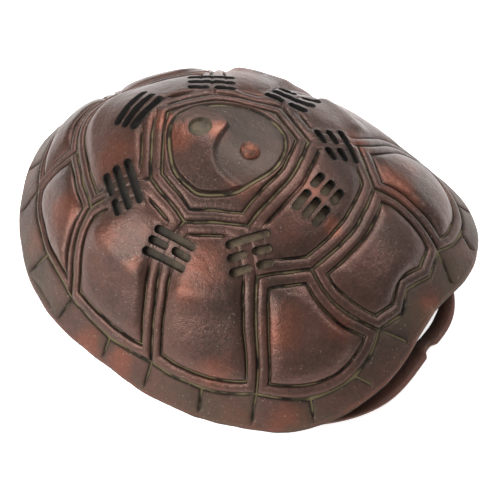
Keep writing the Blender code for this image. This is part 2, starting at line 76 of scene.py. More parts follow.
def smooth_step(values: Numbers, start: float, end: float) -> Numbers:
    """Eases values from 0 at start to 1 at end."""
    share = np.clip((values - start) / (end - start), 0.0, 1.0)
    return share * share * (3 - 2 * share)


def from_crown(flat: Numbers) -> Numbers:
    """Distance from the crown to places whose rows start with x and y."""
    return np.hypot(flat[:, 0], flat[:, 1])


def on_bearing(bearing: float, reach: float | Numbers) -> tuple[float | Numbers, ...]:
    """Place at a reach from the crown, on a bearing in radians."""
    return reach * math.cos(bearing), reach * math.sin(bearing)


@dataclass(frozen=True)
class Dome:
    """The dome on which every scute lies, by stations from the head round to the tail."""

    step: float = 20.0
    rim_radius: tuple[float, ...] = (73.8, 78.2, 77.0, 68.8, 63.3, 60.1, 61.9, 64.0, 66.3, 68.2)
    rim_height: tuple[float, ...] = (25.4, 20.4, 12.7, 9.9, 10.5, 11.5, 12.1, 13.6, 16.4, 18.3)
    fullness: tuple[float, ...] = (1.76, 1.87, 2.07, 2.2, 2.3, 2.5, 2.73, 2.7, 2.46, 2.3)
    crown: float = 60.5
    flare: float = 0.08
    keel: float = 3.6
    keel_taper: float = 0.04
    keel_width: float = 14.0
    flare_power: int = 8
    pace_probe: float = 0.1
    slope_probe: float = 0.2
    tape_steps: int = 20
    rim_samples: int = 60
    rim_every: float = 2.0

    def at_bearing(self, stations: Sequence[float], bearing: Numbers) -> Numbers:
        """Reads a smooth curve through the stations.

        Args:
            stations: Values at every step from the head to the tail.
            bearing: Bearings in radians; both sides are alike.

        Returns:
            The curve's values at the bearings.
        """
        values = np.array(stations)
        turned = np.abs(np.degrees(bearing)) / self.step
        last = len(values) - 1
        start = np.clip(np.floor(turned).astype(int), 0, last - 1)
        share = turned - start

        def station(index: Numbers) -> Numbers:
            """The station at an index, mirrored past either end."""
            index = np.abs(index)
            return values[np.where(index > last, 2 * last - index, index)]

        before, here, after, beyond = (station(start + offset) for offset in (-1, 0, 1, 2))
        bend = 2 * before - 5 * here + 4 * after - beyond + share * (3 * (here - after) + beyond - before)
        return here + 0.5 * share * (after - before + share * bend)

    def height(self, x: Numbers, y: Numbers) -> Numbers:
        """Height of seam level above the floor.

        Args:
            x: Plan positions towards the head.
            y: Plan positions towards the left flank.

        Returns:
            The heights in mm.
        """
        bearing = np.arctan2(y, x)
        share = np.hypot(x, y) / self.at_bearing(self.rim_radius, bearing)
        rim = self.at_bearing(self.rim_height, bearing)
        fall = (1 - self.flare) * share ** self.at_bearing(self.fullness, bearing)
        fall += self.flare * share**self.flare_power
        ridge = (self.keel - self.keel_taper * x) * (1 - share**2) * np.exp(-((y / self.keel_width) ** 2))
        return rim + (self.crown - rim) * (1 - fall) + np.maximum(ridge, 0.0)

    def pace(self, radius: Numbers, across: Numbers, along: Numbers) -> Numbers:
        """Plan distance covered for each millimetre of tape.

        Args:
            radius: Plan distances from the crown.
            across: x parts of the directions walked.
            along: y parts of the directions walked.

        Returns:
            The paces, at most 1.
        """
        near = np.maximum(radius - self.pace_probe, TINY)
        far = radius + self.pace_probe
        rise = self.height(far * across, far * along) - self.height(near * across, near * along)
        return 1 / np.hypot(1.0, rise / (far - near))

    def plan(self, chart: Numbers) -> Numbers:
        """Finds plan positions of chart points by walking out from the crown along each bearing.

        Args:
            chart: Chart points, one a row.

        Returns:
            Plan positions, one a row.
        """
        distance = np.maximum(from_crown(chart), TINY)
        across, along = chart[:, 0] / distance, chart[:, 1] / distance
        step = distance / self.tape_steps
        radius = np.zeros_like(distance)
        for _ in range(self.tape_steps):
            half = radius + 0.5 * step * self.pace(radius, across, along)
            radius = radius + step * self.pace(half, across, along)
        return np.stack([radius * across, radius * along], axis=1)

    def lift(self, flat: Numbers) -> Numbers:
        """Lays chart points over the dome, each at its level square to it.

        Args:
            flat: Rows of x, y and level in mm.

        Returns:
            Places in the shell's own frame, in metres.
        """
        ground = self.plan(flat[:, :2])
        x, y = ground[:, 0], ground[:, 1]
        probe = self.slope_probe
        slope_x = (self.height(x + probe, y) - self.height(x - probe, y)) / (2 * probe)
        slope_y = (self.height(x, y + probe) - self.height(x, y - probe)) / (2 * probe)
        normals = np.stack([-slope_x, -slope_y, np.ones_like(x)], axis=1)
        normals /= np.linalg.norm(normals, axis=1)[:, None]
        places = np.stack([x + CENTRE_SHIFT, y, self.height(x, y)], axis=1) + normals * flat[:, 2:3]
        return places * MM

    def rim_reach(self, bearing: float) -> float:
        """Tape distance from the crown to the rim.

        Args:
            bearing: Which way, in radians.

        Returns:
            The distance in mm.
        """
        rim = float(self.at_bearing(self.rim_radius, np.array(bearing)))
        radii = np.linspace(0.0, rim, self.rim_samples)
        heights = self.height(*on_bearing(bearing, radii))
        return float(np.hypot(np.diff(radii), np.diff(heights)).sum())

    def toward_rim(self, bearing: float, share: float) -> Point:
        """Chart point a share of the way from the crown to the rim."""
        return on_bearing(bearing, share * self.rim_reach(bearing))

    def rim_share(self, flat: Numbers) -> Numbers:
        """How far chart points are on their way to the rim.

        Args:
            flat: Rows that start with chart x and y.

        Returns:
            Shares, 1 at the rim.
        """
        bearings = np.radians(np.arange(0.0, 180.0 + self.rim_every, self.rim_every))
        reaches = np.array([self.rim_reach(bearing) for bearing in bearings])
        turned = np.abs(np.arctan2(flat[:, 1], flat[:, 0]))
        return from_crown(flat) / np.interp(turned, bearings, reaches)


@dataclass(frozen=True)
class Step:
    """One step in from an outline: how far, and the level it comes to."""

    width: float
    level: float


@dataclass
class Chart:
    """A flat mesh of scutes with named points."""

    mesh: BMesh = field(default_factory=bmesh.new)
    points: dict[str, BMVert] = field(default_factory=dict)
    corner: float = 24.0
    sliver: float = 0.05

    def point(self, name: str, place: Point, level: float = 0.0) -> None:
        """Adds a named point, at seam level unless told."""
        self.points[name] = self.mesh.verts.new((*place, level))

    def face(self, names: Iterable[str]) -> BMFace:
        """Adds a face through named points.

        Args:
            names: The points in order, either way round.

        Returns:
            The face, turned to face up.
        """
        face = self.mesh.faces.new([self.points[name] for name in names])
        face.normal_update()
        if face.normal.z < 0:
            face.normal_flip()
        return face

    def step_in(self, faces: list[BMFace], steps: Iterable[Step], crisp: bool = False) -> None:
        """Steps every face in from its outline, again and again.

        Args:
            faces: The faces, which end up as the innermost ones.
            steps: Widths and levels, from the outline inwards.
            crisp: Whether corners stay crisp when the chart is rounded.
        """
        for step in steps:
            levels = {vertex: vertex.co.z for face in faces for vertex in face.verts}
            for vertex in levels:
                vertex.co.z = 0.0
            bmesh.ops.inset_individual(self.mesh, faces=faces, thickness=step.width, use_even_offset=True)
            for vertex, kept in levels.items():
                vertex.co.z = kept
            for face in faces:
                for vertex in face.verts:
                    vertex.co.z = step.level
                if crisp:
                    self.crease_corners(face, levels)

    def crease_corners(self, face: BMFace, outer: Iterable[BMVert]) -> None:
        """Keeps a band's corners crisp, by creasing what joins them to the outline just outside.

        Args:
            face: The face inside the newest step.
            outer: The outline's vertices.
        """
        layers = self.mesh.edges.layers.float
        creases = layers.get(CREASE_LAYER) or layers.new(CREASE_LAYER)
        around = list(face.verts)
        for before, vertex, after in zip(around[-1:] + around[:-1], around, around[1:] + around[:1]):
            bend = (vertex.co.xy - before.co.xy).angle(after.co.xy - vertex.co.xy, 0.0)
            if math.degrees(bend) > self.corner:
                for edge in vertex.link_edges:
                    if edge.other_vert(vertex) in outer:
                        edge[creases] = 1.0

    def shrink(self, face: BMFace, share: float, level: float) -> None:
        """Steps one face in towards its middle.

        Args:
            face: The face.
            share: How much of its size it keeps.
            level: The level it comes to.
        """
        self.step_in([face], [Step(self.sliver, level)])
        middle = face.calc_center_median_weighted()
        for vertex in face.verts:
            vertex.co.xy = middle.xy.lerp(vertex.co.xy, share)

    def strip(self, start: BMEdge) -> list[BMEdge]:
        """Finds every edge side by side with one, across four-sided faces.

        Args:
            start: The first edge.

        Returns:
            The edges, which can all be cut together.
        """
        found = [start]
        for face in start.link_faces:
            edge = start
            while face and len(face.verts) == 4:
                edge = next(other for other in face.edges if not set(other.verts) & set(edge.verts))
                if edge in found:
                    break
                found.append(edge)
                face = next((other for other in edge.link_faces if other is not face), None)
        return found

    def split_long_edges(self, longest: float) -> None:
        """Halves long edges, with the strips they belong to.

        Args:
            longest: The greatest length that an edge keeps, in mm.
        """
        edge = max(self.mesh.edges, key=BMEdge.calc_length)
        while edge.calc_length() > longest:
            bmesh.ops.subdivide_edges(self.mesh, edges=self.strip(edge), cuts=1, use_grid_fill=True)
            edge = max(self.mesh.edges, key=BMEdge.calc_length)


@dataclass(frozen=True)
class Network:
    """Where the seams run on the chart, and which scutes they bound."""

    crown_corners: dict[str, Point] = field(default_factory=lambda: {
        "k0": (0.4, -29.1), "k1": (20.0, -20.7), "k2": (22.8, 0.9), "k3": (19.4, 18.4),
        "k4": (4.0, 27.8), "k5": (-15.9, 17.6), "k6": (-27.8, 2.5), "k7": (-16.5, -21.2),
    })
    crown_cuts: int = 3
    middle_points: dict[str, Point] = field(default_factory=lambda: {
        "s0": (48.0, 0.0), "m0": (73.2, -1.0), "t0": (-58.0, 0.0), "m20": (-75.2, 0.0),
    })
    side_points: dict[str, Point] = field(default_factory=lambda: {
        "v1": (44.5, 19.8), "v2": (31.2, 32.4), "s1": (46.6, 12.1), "f1": (52.3, 23.6), "f2": (63.1, 24.0),
        "n1": (73.0, 20.1), "a1": (34.0, 38.7), "a2": (41.3, 48.7), "a3": (47.9, 57.5), "a4": (50.7, 63.4),
        "b1": (-0.6, 37.5), "b2": (-0.3, 45.9), "b3": (1.9, 55.4), "b4": (5.0, 64.6), "b5": (8.8, 74.2),
        "c0": (-34.6, 34.9), "c1": (-37.2, 41.8), "c2": (-37.2, 49.3), "c4": (-33.8, 65.1),
        "d2": (-45.3, 23.8), "d3": (-53.1, 14.9), "d4": (-60.5, 18.9), "d5": (-68.6, 26.9),
        "t1": (-56.8, 7.5), "m1": (76.2, 9.5), "m2": (75.9, 27.5), "m3": (75.6, 37.5), "m4": (72.8, 45.7),
        "m5": (67.6, 53.1), "m6": (61.0, 58.2), "m7": (41.5, 69.2), "m8": (31.5, 72.8), "m9": (20.1, 74.7),
        "m10": (-1.8, 74.8), "m11": (-12.6, 73.6), "m12": (-23.8, 69.9), "m14": (-51.5, 52.0),
        "m15": (-58.4, 44.9), "m16": (-64.3, 37.2), "m17": (-72.1, 20.7), "m18": (-74.3, 13.8),
        "m19": (-75.0, 6.5),
    })
    left_points: dict[str, Point] = field(default_factory=lambda: {
        "a2": (36.6, 50.0), "a3": (42.8, 59.4), "c0": (-28.4, 36.2), "c1": (-32.5, 43.0), "c2": (-35.5, 50.0),
    })
    middle_scutes: dict[str, str] = field(default_factory=lambda: {
        "vertebral 1": "v1- s1- s0 s1+ v1+ f1+ f2+ n1+ m1+ m0 m1- n1- f2- f1-",
        "vertebral 2": "k1 v2- v1- s1- s0 s1+ v1+ v2+ k3 k2",
        "vertebral 4": "k7 k6 k5 c0+ d2+ d3+ t1+ t0 t1- d3- d2- c0-",
        "vertebral 5": "d3- t1- t0 t1+ d3+ d4+ d5+ m17+ m18+ m19+ m20 m19- m18- m17- d5- d4-",
    })
    costals: dict[str, str] = field(default_factory=lambda: {
        "costal 1": "v2* a1* a2* a3* a4* m6* m5* m4* m3* m2* n1* f2* f1* v1*",
        "costal 2": "{near} {front} v2* a1* a2* a3* a4* m7* m8* m9* b5* b4* b3* b2* b1*",
        "costal 3": "{rear} {near} b1* b2* b3* b4* b5* m10* m11* m12* c4* c2* c1* c0*",
        "costal 4": "c0* c1* c2* c4* m14* m15* m16* d5* d4* d3* d2*",
    })
    crown_ends: dict[Side, tuple[str, str, str]] = field(default_factory=lambda: {
        Side.RIGHT: ("k1", "k0", "k7"), Side.LEFT: ("k3", "k4", "k5"),
    })
    marginals: tuple[str, ...] = (
        "n1 m2 m3", "m3 m4 m5", "m5 m6 a4", "a4 m7 m8", "m8 m9 b5", "b5 m10 m11",
        "m11 m12 c4", "c4 m14", "m14 m15 m16 d5", "d5 m17 m18",
    )
    end_marginals: tuple[str, ...] = ("n1- m1- m0 m1+ n1+", "m18+ m19+ m20 m19- m18-")
    seam_bearings: dict[str, float] = field(default_factory=lambda: {
        "n1": 10.6, "m3": 24.0, "m5": 38.5, "a4": 52.7, "m8": 66.9, "b5": 83.7, "m11": 99.8, "c4": 118.6,
        "m14": 137.0, "d5": 156.5, "m18": 170.0,
    })
    seam_end: float = 0.955
    lip: float = 0.98
    margin_level: float = 0.9
    margin_rise: float = 0.014

    def add_points(self, chart: Chart, dome: Dome) -> None:
        """Places every seam point, and the points where the marginal scutes end.

        Args:
            chart: Takes the points.
            dome: Says how far away the rim is.
        """
        for name, place in (self.crown_corners | self.middle_points).items():
            chart.point(name, place)
        corners = list(self.crown_corners)
        for name, after in zip(corners, corners[1:] + corners[:1]):
            start, goal = Vector(self.crown_corners[name]), Vector(self.crown_corners[after])
            for cut in range(1, self.crown_cuts + 1):
                chart.point(f"{name}.{cut}", start.lerp(goal, cut / (self.crown_cuts + 1)))
        for name, (x, y) in self.side_points.items():
            chart.point(name + Side.RIGHT.value, (x, -y))
            chart.point(name + Side.LEFT.value, self.left_points.get(name, (x, y)))
        runs = (*self.marginals, *self.end_marginals)
        for name in sorted({name.strip("+-") for run in runs for name in run.split()}):
            x, y = (self.side_points | self.middle_points)[name]
            bearing = math.radians(self.seam_bearings.get(name, math.degrees(math.atan2(y, x))))
            sides = (("", 1),) if name in self.middle_points else (("-", -1), ("+", 1))
            for ending, turn in sides:
                place = dome.toward_rim(turn * bearing, self.lip)
                chart.point(f"end {name}{ending}", place, self.margin_level)
                if name in self.seam_bearings:
                    chart.point(f"stop {name}{ending}", dome.toward_rim(turn * bearing, self.seam_end))

    def with_crown_cuts(self, names: list[str]) -> list[str]:
        """Puts the extra points in along the sides of the middle scute.

        Args:
            names: A scute's outline.

        Returns:
            The whole outline.
        """
        corners = list(self.crown_corners)
        whole = []
        for name, after in zip(names, names[1:] + names[:1]):
            whole.append(name)
            if name in corners and after in corners:
                forward = corners[(corners.index(name) + 1) % len(corners)] == after
                cuts = [f"{name if forward else after}.{cut}" for cut in range(1, self.crown_cuts + 1)]
                whole += cuts if forward else reversed(cuts)
        return whole

    def sided(self, run: str, side: Side) -> list[str]:
        """Turns a costal scute's run into names of points on one side."""
        front, near, rear = self.crown_ends[side]
        return run.format(near=near, front=front, rear=rear).replace("*", side.value).split()

    def marginal_run(self, names: list[str]) -> list[str]:
        """A marginal scute's outline: in along the seam, out to the rim and back."""
        ends = [f"end {name}" for name in reversed(names)]
        return [*names, f"stop {names[-1]}", *ends, f"stop {names[0]}"]

    def scutes(self, chart: Chart) -> dict[str, list[BMFace]]:
        """Draws every scute but the marginal ones.

        Args:
            chart: Holds the points and takes the faces.

        Returns:
            The faces by name of scute.
        """
        drawn = {"crown": [chart.face(self.with_crown_cuts(list(self.crown_corners)))]}
        for name, run in self.middle_scutes.items():
            drawn[name] = [chart.face(self.with_crown_cuts(run.split()))]
        for name, run in self.costals.items():
            outlines = [self.with_crown_cuts(self.sided(run, side)) for side in self.crown_ends]
            drawn[name] = [chart.face(outline) for outline in outlines]
        return drawn

    def margins(self, chart: Chart) -> list[BMFace]:
        """Draws the marginal scutes.

        Args:
            chart: Holds the points and takes the faces.

        Returns:
            The faces.
        """
        drawn = [
            chart.face(self.marginal_run([name + side.value for name in run.split()]))
            for run in self.marginals for side in self.crown_ends
        ]
        return drawn + [chart.face(self.marginal_run(run.split())) for run in self.end_marginals]


@dataclass(frozen=True)
class Bar:
    """A sunk bar on the chart, its direction in degrees. One that is broken in two says where along it."""

    middle: Point
    turn: float
    length: float
    broken_at: float | None = None
    width: float = 2.6


@dataclass(frozen=True)
class Slots:
    """Cutters for the groups of sunk bars, drawn on the chart."""

    gap: float = 1.6
    ground: float = 1.7
    floor: float = -0.5
    floor_round: float = 0.3
    draft: float = 0.04
    top: float = 3.5
    cuts: int = 4
    segments: int = 18
    bars: tuple[Bar, ...] = (
        Bar((-29.5, 0.0), 84, 15.2), Bar((-33.2, 0.5), 86, 15.6), Bar((-37.1, 1.5), 89, 16.4),
        Bar((-21.1, -23.5), -44, 16.8), Bar((-24.0, -26.4), -44, 17.0), Bar((-26.7, -29.3), -44, 16.6, 1.5),
        Bar((0.6, -34.8), -2, 16.0), Bar((0.5, -38.4), -2, 16.6, 0.1), Bar((0.1, -42.1), -1, 17.0),
        Bar((22.1, -24.2), 48, 14.8), Bar((25.0, -27.6), 46, 14.8, 0.1), Bar((27.9, -31.0), 46, 14.8, 0.8),
        Bar((29.4, 0.1), 88, 16.8, 1.1), Bar((33.3, 0.1), 88, 17.3, 0.9), Bar((37.2, -0.1), 88, 17.0, 0.9),
        Bar((23.9, 21.1), -35, 13.8, 0.5), Bar((26.7, 24.4), -37, 14.2, 0.6), Bar((29.3, 27.7), -41, 15.4),
        Bar((3.5, 31.4), 8, 15.4, 0.0, 3.6), Bar((3.6, 36.6), 11, 15.4, None, 3.6),
        Bar((3.0, 42.0), 12, 15.4, 0.0, 3.8),
        Bar((-18.4, 20.2), 28, 15.4, 0.0), Bar((-20.7, 23.8), 28, 15.4), Bar((-23.2, 27.4), 28, 15.4),
    )

    def pieces(self) -> list[tuple[Bar, float, float]]:
        """Lists the stretches to cut.

        Returns:
            Each bar with the start and end of a stretch along its direction.
        """
        found = []
        for bar in self.bars:
            half = bar.length / 2
            if bar.broken_at is None:
                found.append((bar, -half, half))
            else:
                found.append((bar, -half, bar.broken_at - self.gap / 2))
                found.append((bar, bar.broken_at + self.gap / 2, half))
        return found

    def cut(self, mesh: BMesh, bar: Bar, start: float, end: float) -> None:
        """Adds one round-ended cutter with a rounded floor and walls that lean out a little.

        Args:
            mesh: Takes the cutter.
            bar: Gives its place and direction.
            start: Where it starts along the direction.
            end: Where it ends.
        """
        half, tall, count = bar.width / 2, self.top - self.floor, len(mesh.verts)
        ring = bmesh.ops.create_circle(mesh, cap_ends=True, segments=self.segments, radius=half)["verts"]
        base = ring[0].link_faces[0]
        for vertex in ring:
            vertex.co.x += end - half if vertex.co.x > 0 else start + half
        for vertex in extruded(mesh, [base]):
            spine = Vector((min(max(vertex.co.x, start + half), end - half), 0.0, 0.0))
            vertex.co += (vertex.co - spine).normalized() * self.draft * tall
            vertex.co.z = tall
        outline = list(base.verts)
        bmesh.ops.inset_individual(mesh, faces=[base], thickness=self.floor_round, use_even_offset=True)
        for vertex in outline:
            vertex.co.z = self.floor_round
        for cut in range(1, self.cuts + 1):
            mesh.verts.ensure_lookup_table()
            groups = ((vertex, *vertex.link_edges, *vertex.link_faces) for vertex in mesh.verts[count:])
            score(mesh, groups, start + (end - start) * cut / (self.cuts + 1), "X")
        mesh.verts.ensure_lookup_table()
        turned = Matrix.Rotation(math.radians(bar.turn), 4, "Z")
        place = Matrix.Translation((*bar.middle, self.floor)) @ turned
        bmesh.ops.transform(mesh, matrix=place, verts=mesh.verts[count:])

    def nearness(self, flat: Numbers, near: float, far: float) -> Numbers:
        """How near places are to the bars.

        Args:
            flat: Rows that start with chart x and y.
            near: Distance from a bar's edge up to which the answer is 1.
            far: Distance from which it is 0.

        Returns:
            The shares.
        """
        closest = np.full(len(flat), np.inf)
        for bar, start, end in self.pieces():
            turn = math.radians(bar.turn)
            x, y = flat[:, 0] - bar.middle[0], flat[:, 1] - bar.middle[1]
            along = x * math.cos(turn) + y * math.sin(turn)
            across = y * math.cos(turn) - x * math.sin(turn)
            half = bar.width / 2
            edge = np.hypot(along - np.clip(along, start + half, end - half), across) - half
            closest = np.minimum(closest, edge)
        return 1.0 - smooth_step(closest, near, far)

    def cutter(self, finish: Material) -> Object:
        """Makes one helper of all the cutters.

        Args:
            finish: The finish of what they lay open.

        Returns:
            The helper.
        """
        mesh = bmesh.new()
        for bar, start, end in self.pieces():
            self.cut(mesh, bar, start, end)
        return hidden_helper("slots", mesh, finish)


def score(mesh: BMesh, groups: Iterable[tuple], place: float, axis: str) -> None:
    """Cuts new edges into part of a mesh, across an axis.

    Args:
        mesh: The mesh.
        groups: What is cut, in groups that may overlap.
        place: Where along the axis.
        axis: "X" or "Y".
    """
    normal = Vector([float(letter == axis) for letter in "XYZ"])
    parts = dict.fromkeys(part for group in groups for part in group)
    bmesh.ops.bisect_plane(mesh, geom=list(parts), plane_co=normal * place, plane_no=normal)


def extruded(mesh: BMesh, faces: list[BMFace]) -> list[BMVert]:
    """Extrudes faces, and gives the new vertices to be moved."""
    made = bmesh.ops.extrude_face_region(mesh, geom=faces)["geom"]
    return [part for part in made if isinstance(part, BMVert)]


def in_scene(name: str, data: ID) -> Object:
    """Puts a new object into the scene.

    Args:
        name: Its name.
        data: Its mesh, lamp or camera.

    Returns:
        The object.
    """
    made = bpy.data.objects.new(name, data)
    bpy.context.scene.collection.objects.link(made)
    return made


def linked(name: str, mesh: BMesh, finish: Material) -> Object:
    """Makes an object of a bmesh, its faces turned outwards.

    Args:
        name: The object's name.
        mesh: The bmesh, which is freed.
        finish: The object's finish.

    Returns:
        The object, in the scene.
    """
    bmesh.ops.recalc_face_normals(mesh, faces=mesh.faces)
    data = bpy.data.meshes.new(name)
    mesh.to_mesh(data)
    mesh.free()
    data.materials.append(finish)
    return in_scene(name, data)


def hidden_helper(name: str, mesh: BMesh, finish: Material) -> Object:
    """Makes a helper object that never shows in a render but passes its finish on.

    Args:
        name: The helper's name.
        mesh: The bmesh, which is freed.
        finish: The finish.

    Returns:
        The helper.
    """
    made = linked(name, mesh, finish)
    made.hide_render = True
    return made


def baked(made: Object, helpers: Iterable[Object] = ()) -> Mesh:
    """Turns an object into the mesh its modifiers make, and clears it and its helpers away.

    Args:
        made: The object.
        helpers: What its modifiers use.

    Returns:
        The finished mesh.
    """
    graph = bpy.context.evaluated_depsgraph_get()
    mesh = bpy.data.meshes.new_from_object(made.evaluated_get(graph))
    for used in (made, *helpers):
        bpy.data.objects.remove(used)
    return mesh


def rounded(body: Object, times: int) -> Object:
    """Subdivides and rounds a body.

    Args:
        body: The body, which is used up.
        times: How often it is subdivided.

    Returns:
        The rounded body.
    """
    smoother = body.modifiers.new("rounding", "SUBSURF")
    smoother.levels = smoother.render_levels = times
    return in_scene(body.name, baked(body))


def combined(body: Object, helpers: dict[Object, str]) -> Mesh:
    """Adds helpers to a body or cuts them from it; cut faces take the helper's finish.

    Args:
        body: The body, which is used up.
        helpers: Helpers with the Boolean operation of each, in order.

    Returns:
        The finished mesh.
    """
    for helper, operation in helpers.items():
        modifier = body.modifiers.new(helper.name, "BOOLEAN")
        modifier.operation = operation
        modifier.solver = "MANIFOLD"
        modifier.material_mode = "TRANSFER"
        modifier.object = helper
    return baked(body, helpers)


def coordinates(mesh: Mesh) -> Numbers:
    """Reads a mesh's vertices.

    Args:
        mesh: The mesh.

    Returns:
        Their places, one a row.
    """
    flat = np.empty(len(mesh.vertices) * 3, np.float32)
    mesh.vertices.foreach_get("co", flat)
    return flat.reshape(-1, 3).astype(float)


def move(mesh: Mesh, places: Numbers) -> None:
    """Moves a mesh's vertices to their places, one a row."""
    mesh.vertices.foreach_set("co", places.astype(np.float32).ravel())


def finished(name: str, mesh: Mesh, places: Numbers, marks: dict[str, Numbers],
             crease: float) -> Object:
    """Moves a mesh to its places and makes it a smooth-shaded piece.

    Args:
        name: The piece's name.
        mesh: The mesh.
        places: Where each vertex goes, in metres.
        marks: Numbers for each vertex, by the names that the materials read.
        crease: Angle in degrees past which an edge stays sharp.

    Returns:
        The piece.
    """
    for key, values in marks.items():
        layer = mesh.attributes.new(key, "FLOAT", "POINT")
        layer.data.foreach_set("value", values.astype(np.float32))
    mesh.name = name
    move(mesh, places)
    mesh.update()
    mesh.shade_smooth()
    mesh.set_sharp_from_angle(angle=math.radians(crease))
    return in_scene(name, mesh)


@dataclass(frozen=True)
class Spot:
    """A soft-edged spot: where on the chart, how far it reaches, and how strongly."""

    place: Point
    reach: float
    strength: float

    def strengths(self, flat: Numbers) -> Numbers:
        """The strength at each place, falling off from the middle."""
        away = np.hypot(flat[:, 0] - self.place[0], flat[:, 1] - self.place[1])
        return self.strength * np.exp(-((away / self.reach) ** 2))


@dataclass(frozen=True)
class Disc:
    """The rounded panel of two commas on the middle scute, inside a ring groove."""

    ring_radii: tuple[float, ...] = (20.0, 18.4, 19.4, 19.8, 18.1, 16.5, 16.9, 18.1, 19.7, 19.4, 17.2, 17.8)
    ring_step: float = 30.0
    # Each step's width is here how far out from the middle of the ring groove it lies.
    ring: tuple[Step, ...] = (Step(0.8, 1.1), Step(0.35, -0.4), Step(-0.35, -0.4), Step(-0.8, 0.5))
    low: float = 0.5
    rise: float = 1.35
    edge: tuple[Point, ...] = (
        (-12.8, 8.9), (-9.8, 9.2), (-6.6, 8.3), (-3.0, 6.2), (-2.6, 3.2), (-1.8, -0.6),
        (-0.6, -3.6), (1.5, -6.3), (4.3, -8.3), (7.8, -9.3), (11.0, -9.7),
    )
    tips: tuple[float, float] = (150.0, -36.0)
    hollow: Spot = Spot((4.5, 6.0), 8.5, 1.5)
    slope_rings: tuple[float, ...] = (0.4, 0.6, 0.9, 1.1)
    slopes: tuple[float, float] = (0.9, 3.4)
    slope_widens: tuple[float, float] = (4.0, -5.0)
    ring_slope: float = 1.0
    ring_points: int = 40
    inner_step: float = 0.5
    grid: float = 4.5
    grid_lines: int = 4
    hollow_margin: float = 5.0
    eye_centre: Point = (-9.8, -0.2)
    eye_floor_radius: float = 3.3
    eye_mouth_radius: float = 4.5
    eye_level: float = 0.55
    eye_height: float = 4.0
    eye_segments: int = 48
    boss_centre: Point = (7.4, 1.1)
    boss_radius: float = 3.25
    boss_sunk: float = 0.7
    boss_rise: float = 2.3
    boss_segments: tuple[int, int] = (40, 20)
    boss_dent: float = 0.16
    boss_dents: tuple[Point, ...] = ((0.9, 1.0), (2.1, 0.5))

    def ring_radius(self, places: Numbers) -> Numbers:
        """Distance from the crown to the middle of the ring groove.

        Args:
            places: Rows that start with chart x and y.

        Returns:
            The distances on the way to each place.
        """
        bearings = np.degrees(np.arctan2(places[:, 1], places[:, 0]))
        stations = np.arange(-180.0, 180.0, self.ring_step)
        return np.interp(bearings, stations, self.ring_radii, period=360.0)

    def inside_ring(self, flat: Numbers) -> Numbers:
        """How far inside the inner foot of the ring groove each place is."""
        return self.ring_radius(flat) + self.ring[-1].width - from_crown(flat)

    def ring_point(self, bearing: float) -> Point:
        """The inner foot of the ring groove.

        Args:
            bearing: Which way, in degrees.

        Returns:
            Its place on the chart.
        """
        turn = math.radians(bearing)
        radius = self.ring_radius(np.array([on_bearing(turn, 1.0)]))[0]
        return on_bearing(turn, float(radius + self.ring[-1].width))

    def carve(self, chart: Chart, crown: BMFace) -> None:
        """Rounds the middle scute's frame to a ring groove and draws the commas inside it.

        Args:
            chart: Holds the mesh.
            crown: The face inside the frame.
        """
        for step in self.ring:
            chart.step_in([crown], [Step(chart.sliver, step.level)])
            radii = self.ring_radius(np.array([vertex.co for vertex in crown.verts]))
            for vertex, radius in zip(crown.verts, radii):
                vertex.co.xy = vertex.co.xy.normalized() * (radius + step.width)
        chart.step_in([crown], [Step(self.inner_step, self.low)])
        tips = [min(crown.verts, key=lambda v, b=bearing: self.off(v, b)) for bearing in self.tips]
        path = [(x, y, self.low) for x, y in self.edge]
        other = bmesh.utils.face_split(crown, tips[0], tips[1], coords=path)[0]
        raised, low = sorted((crown, other), key=lambda face: face.calc_center_median().x)
        chart.step_in([raised], [Step(width, self.low) for width in self.slope_rings])
        for face in (raised, low):
            face.material_index = 1
        for axis in "XY":
            for count in range(-self.grid_lines, self.grid_lines + 1):
                inner = (face for face in chart.mesh.faces if face.material_index)
                groups = ((face, *face.edges, *face.verts) for face in inner)
                score(chart.mesh, groups, count * self.grid, axis)
        for face in chart.mesh.faces:
            face.material_index = 0

    def off(self, vertex: BMVert, bearing: float) -> float:
        """How far a vertex is from a bearing in degrees."""
        return abs(math.degrees(math.atan2(vertex.co.y, vertex.co.x)) - bearing)

    def raised(self, flat: Numbers) -> Numbers:
        """Share of the raised comma's height at each place, soft at its hollow side and steep elsewhere.

        Args:
            flat: Rows of chart x, y and level.

        Returns:
            Shares from 0 to 1.
        """
        x, y = flat[:, 0], flat[:, 1]
        path = np.array([self.ring_point(self.tips[0]), *self.edge, self.ring_point(self.tips[1])])
        away = np.full(len(flat), np.inf)
        inside = np.zeros(len(flat), bool)
        turns = np.linspace(self.tips[1], self.tips[0] - 360.0, self.ring_points)
        rim = np.array([self.ring_point(turn) for turn in turns])
        outline = np.vstack([path, rim[1:-1]])
        for (x0, y0), (x1, y1) in zip(outline, np.roll(outline, -1, axis=0)):
            crosses = (y0 > y) != (y1 > y)
            with np.errstate(divide="ignore", invalid="ignore"):
                inside ^= crosses & (x < (x1 - x0) * (y - y0) / (y1 - y0) + x0)
        for (x0, y0), (x1, y1) in zip(path, path[1:]):
            length = (x1 - x0) ** 2 + (y1 - y0) ** 2
            share = np.clip(((x - x0) * (x1 - x0) + (y - y0) * (y1 - y0)) / length, 0.0, 1.0)
            away = np.minimum(away, np.hypot(x - x0 - share * (x1 - x0), y - y0 - share * (y1 - y0)))
        steep, soft = self.slopes
        width = steep + (soft - steep) * smooth_step(y, *self.slope_widens)
        ring_foot = smooth_step(self.inside_ring(flat), 0.0, self.ring_slope)
        return inside * smooth_step(away / width, 0.0, 1.0) * ring_foot

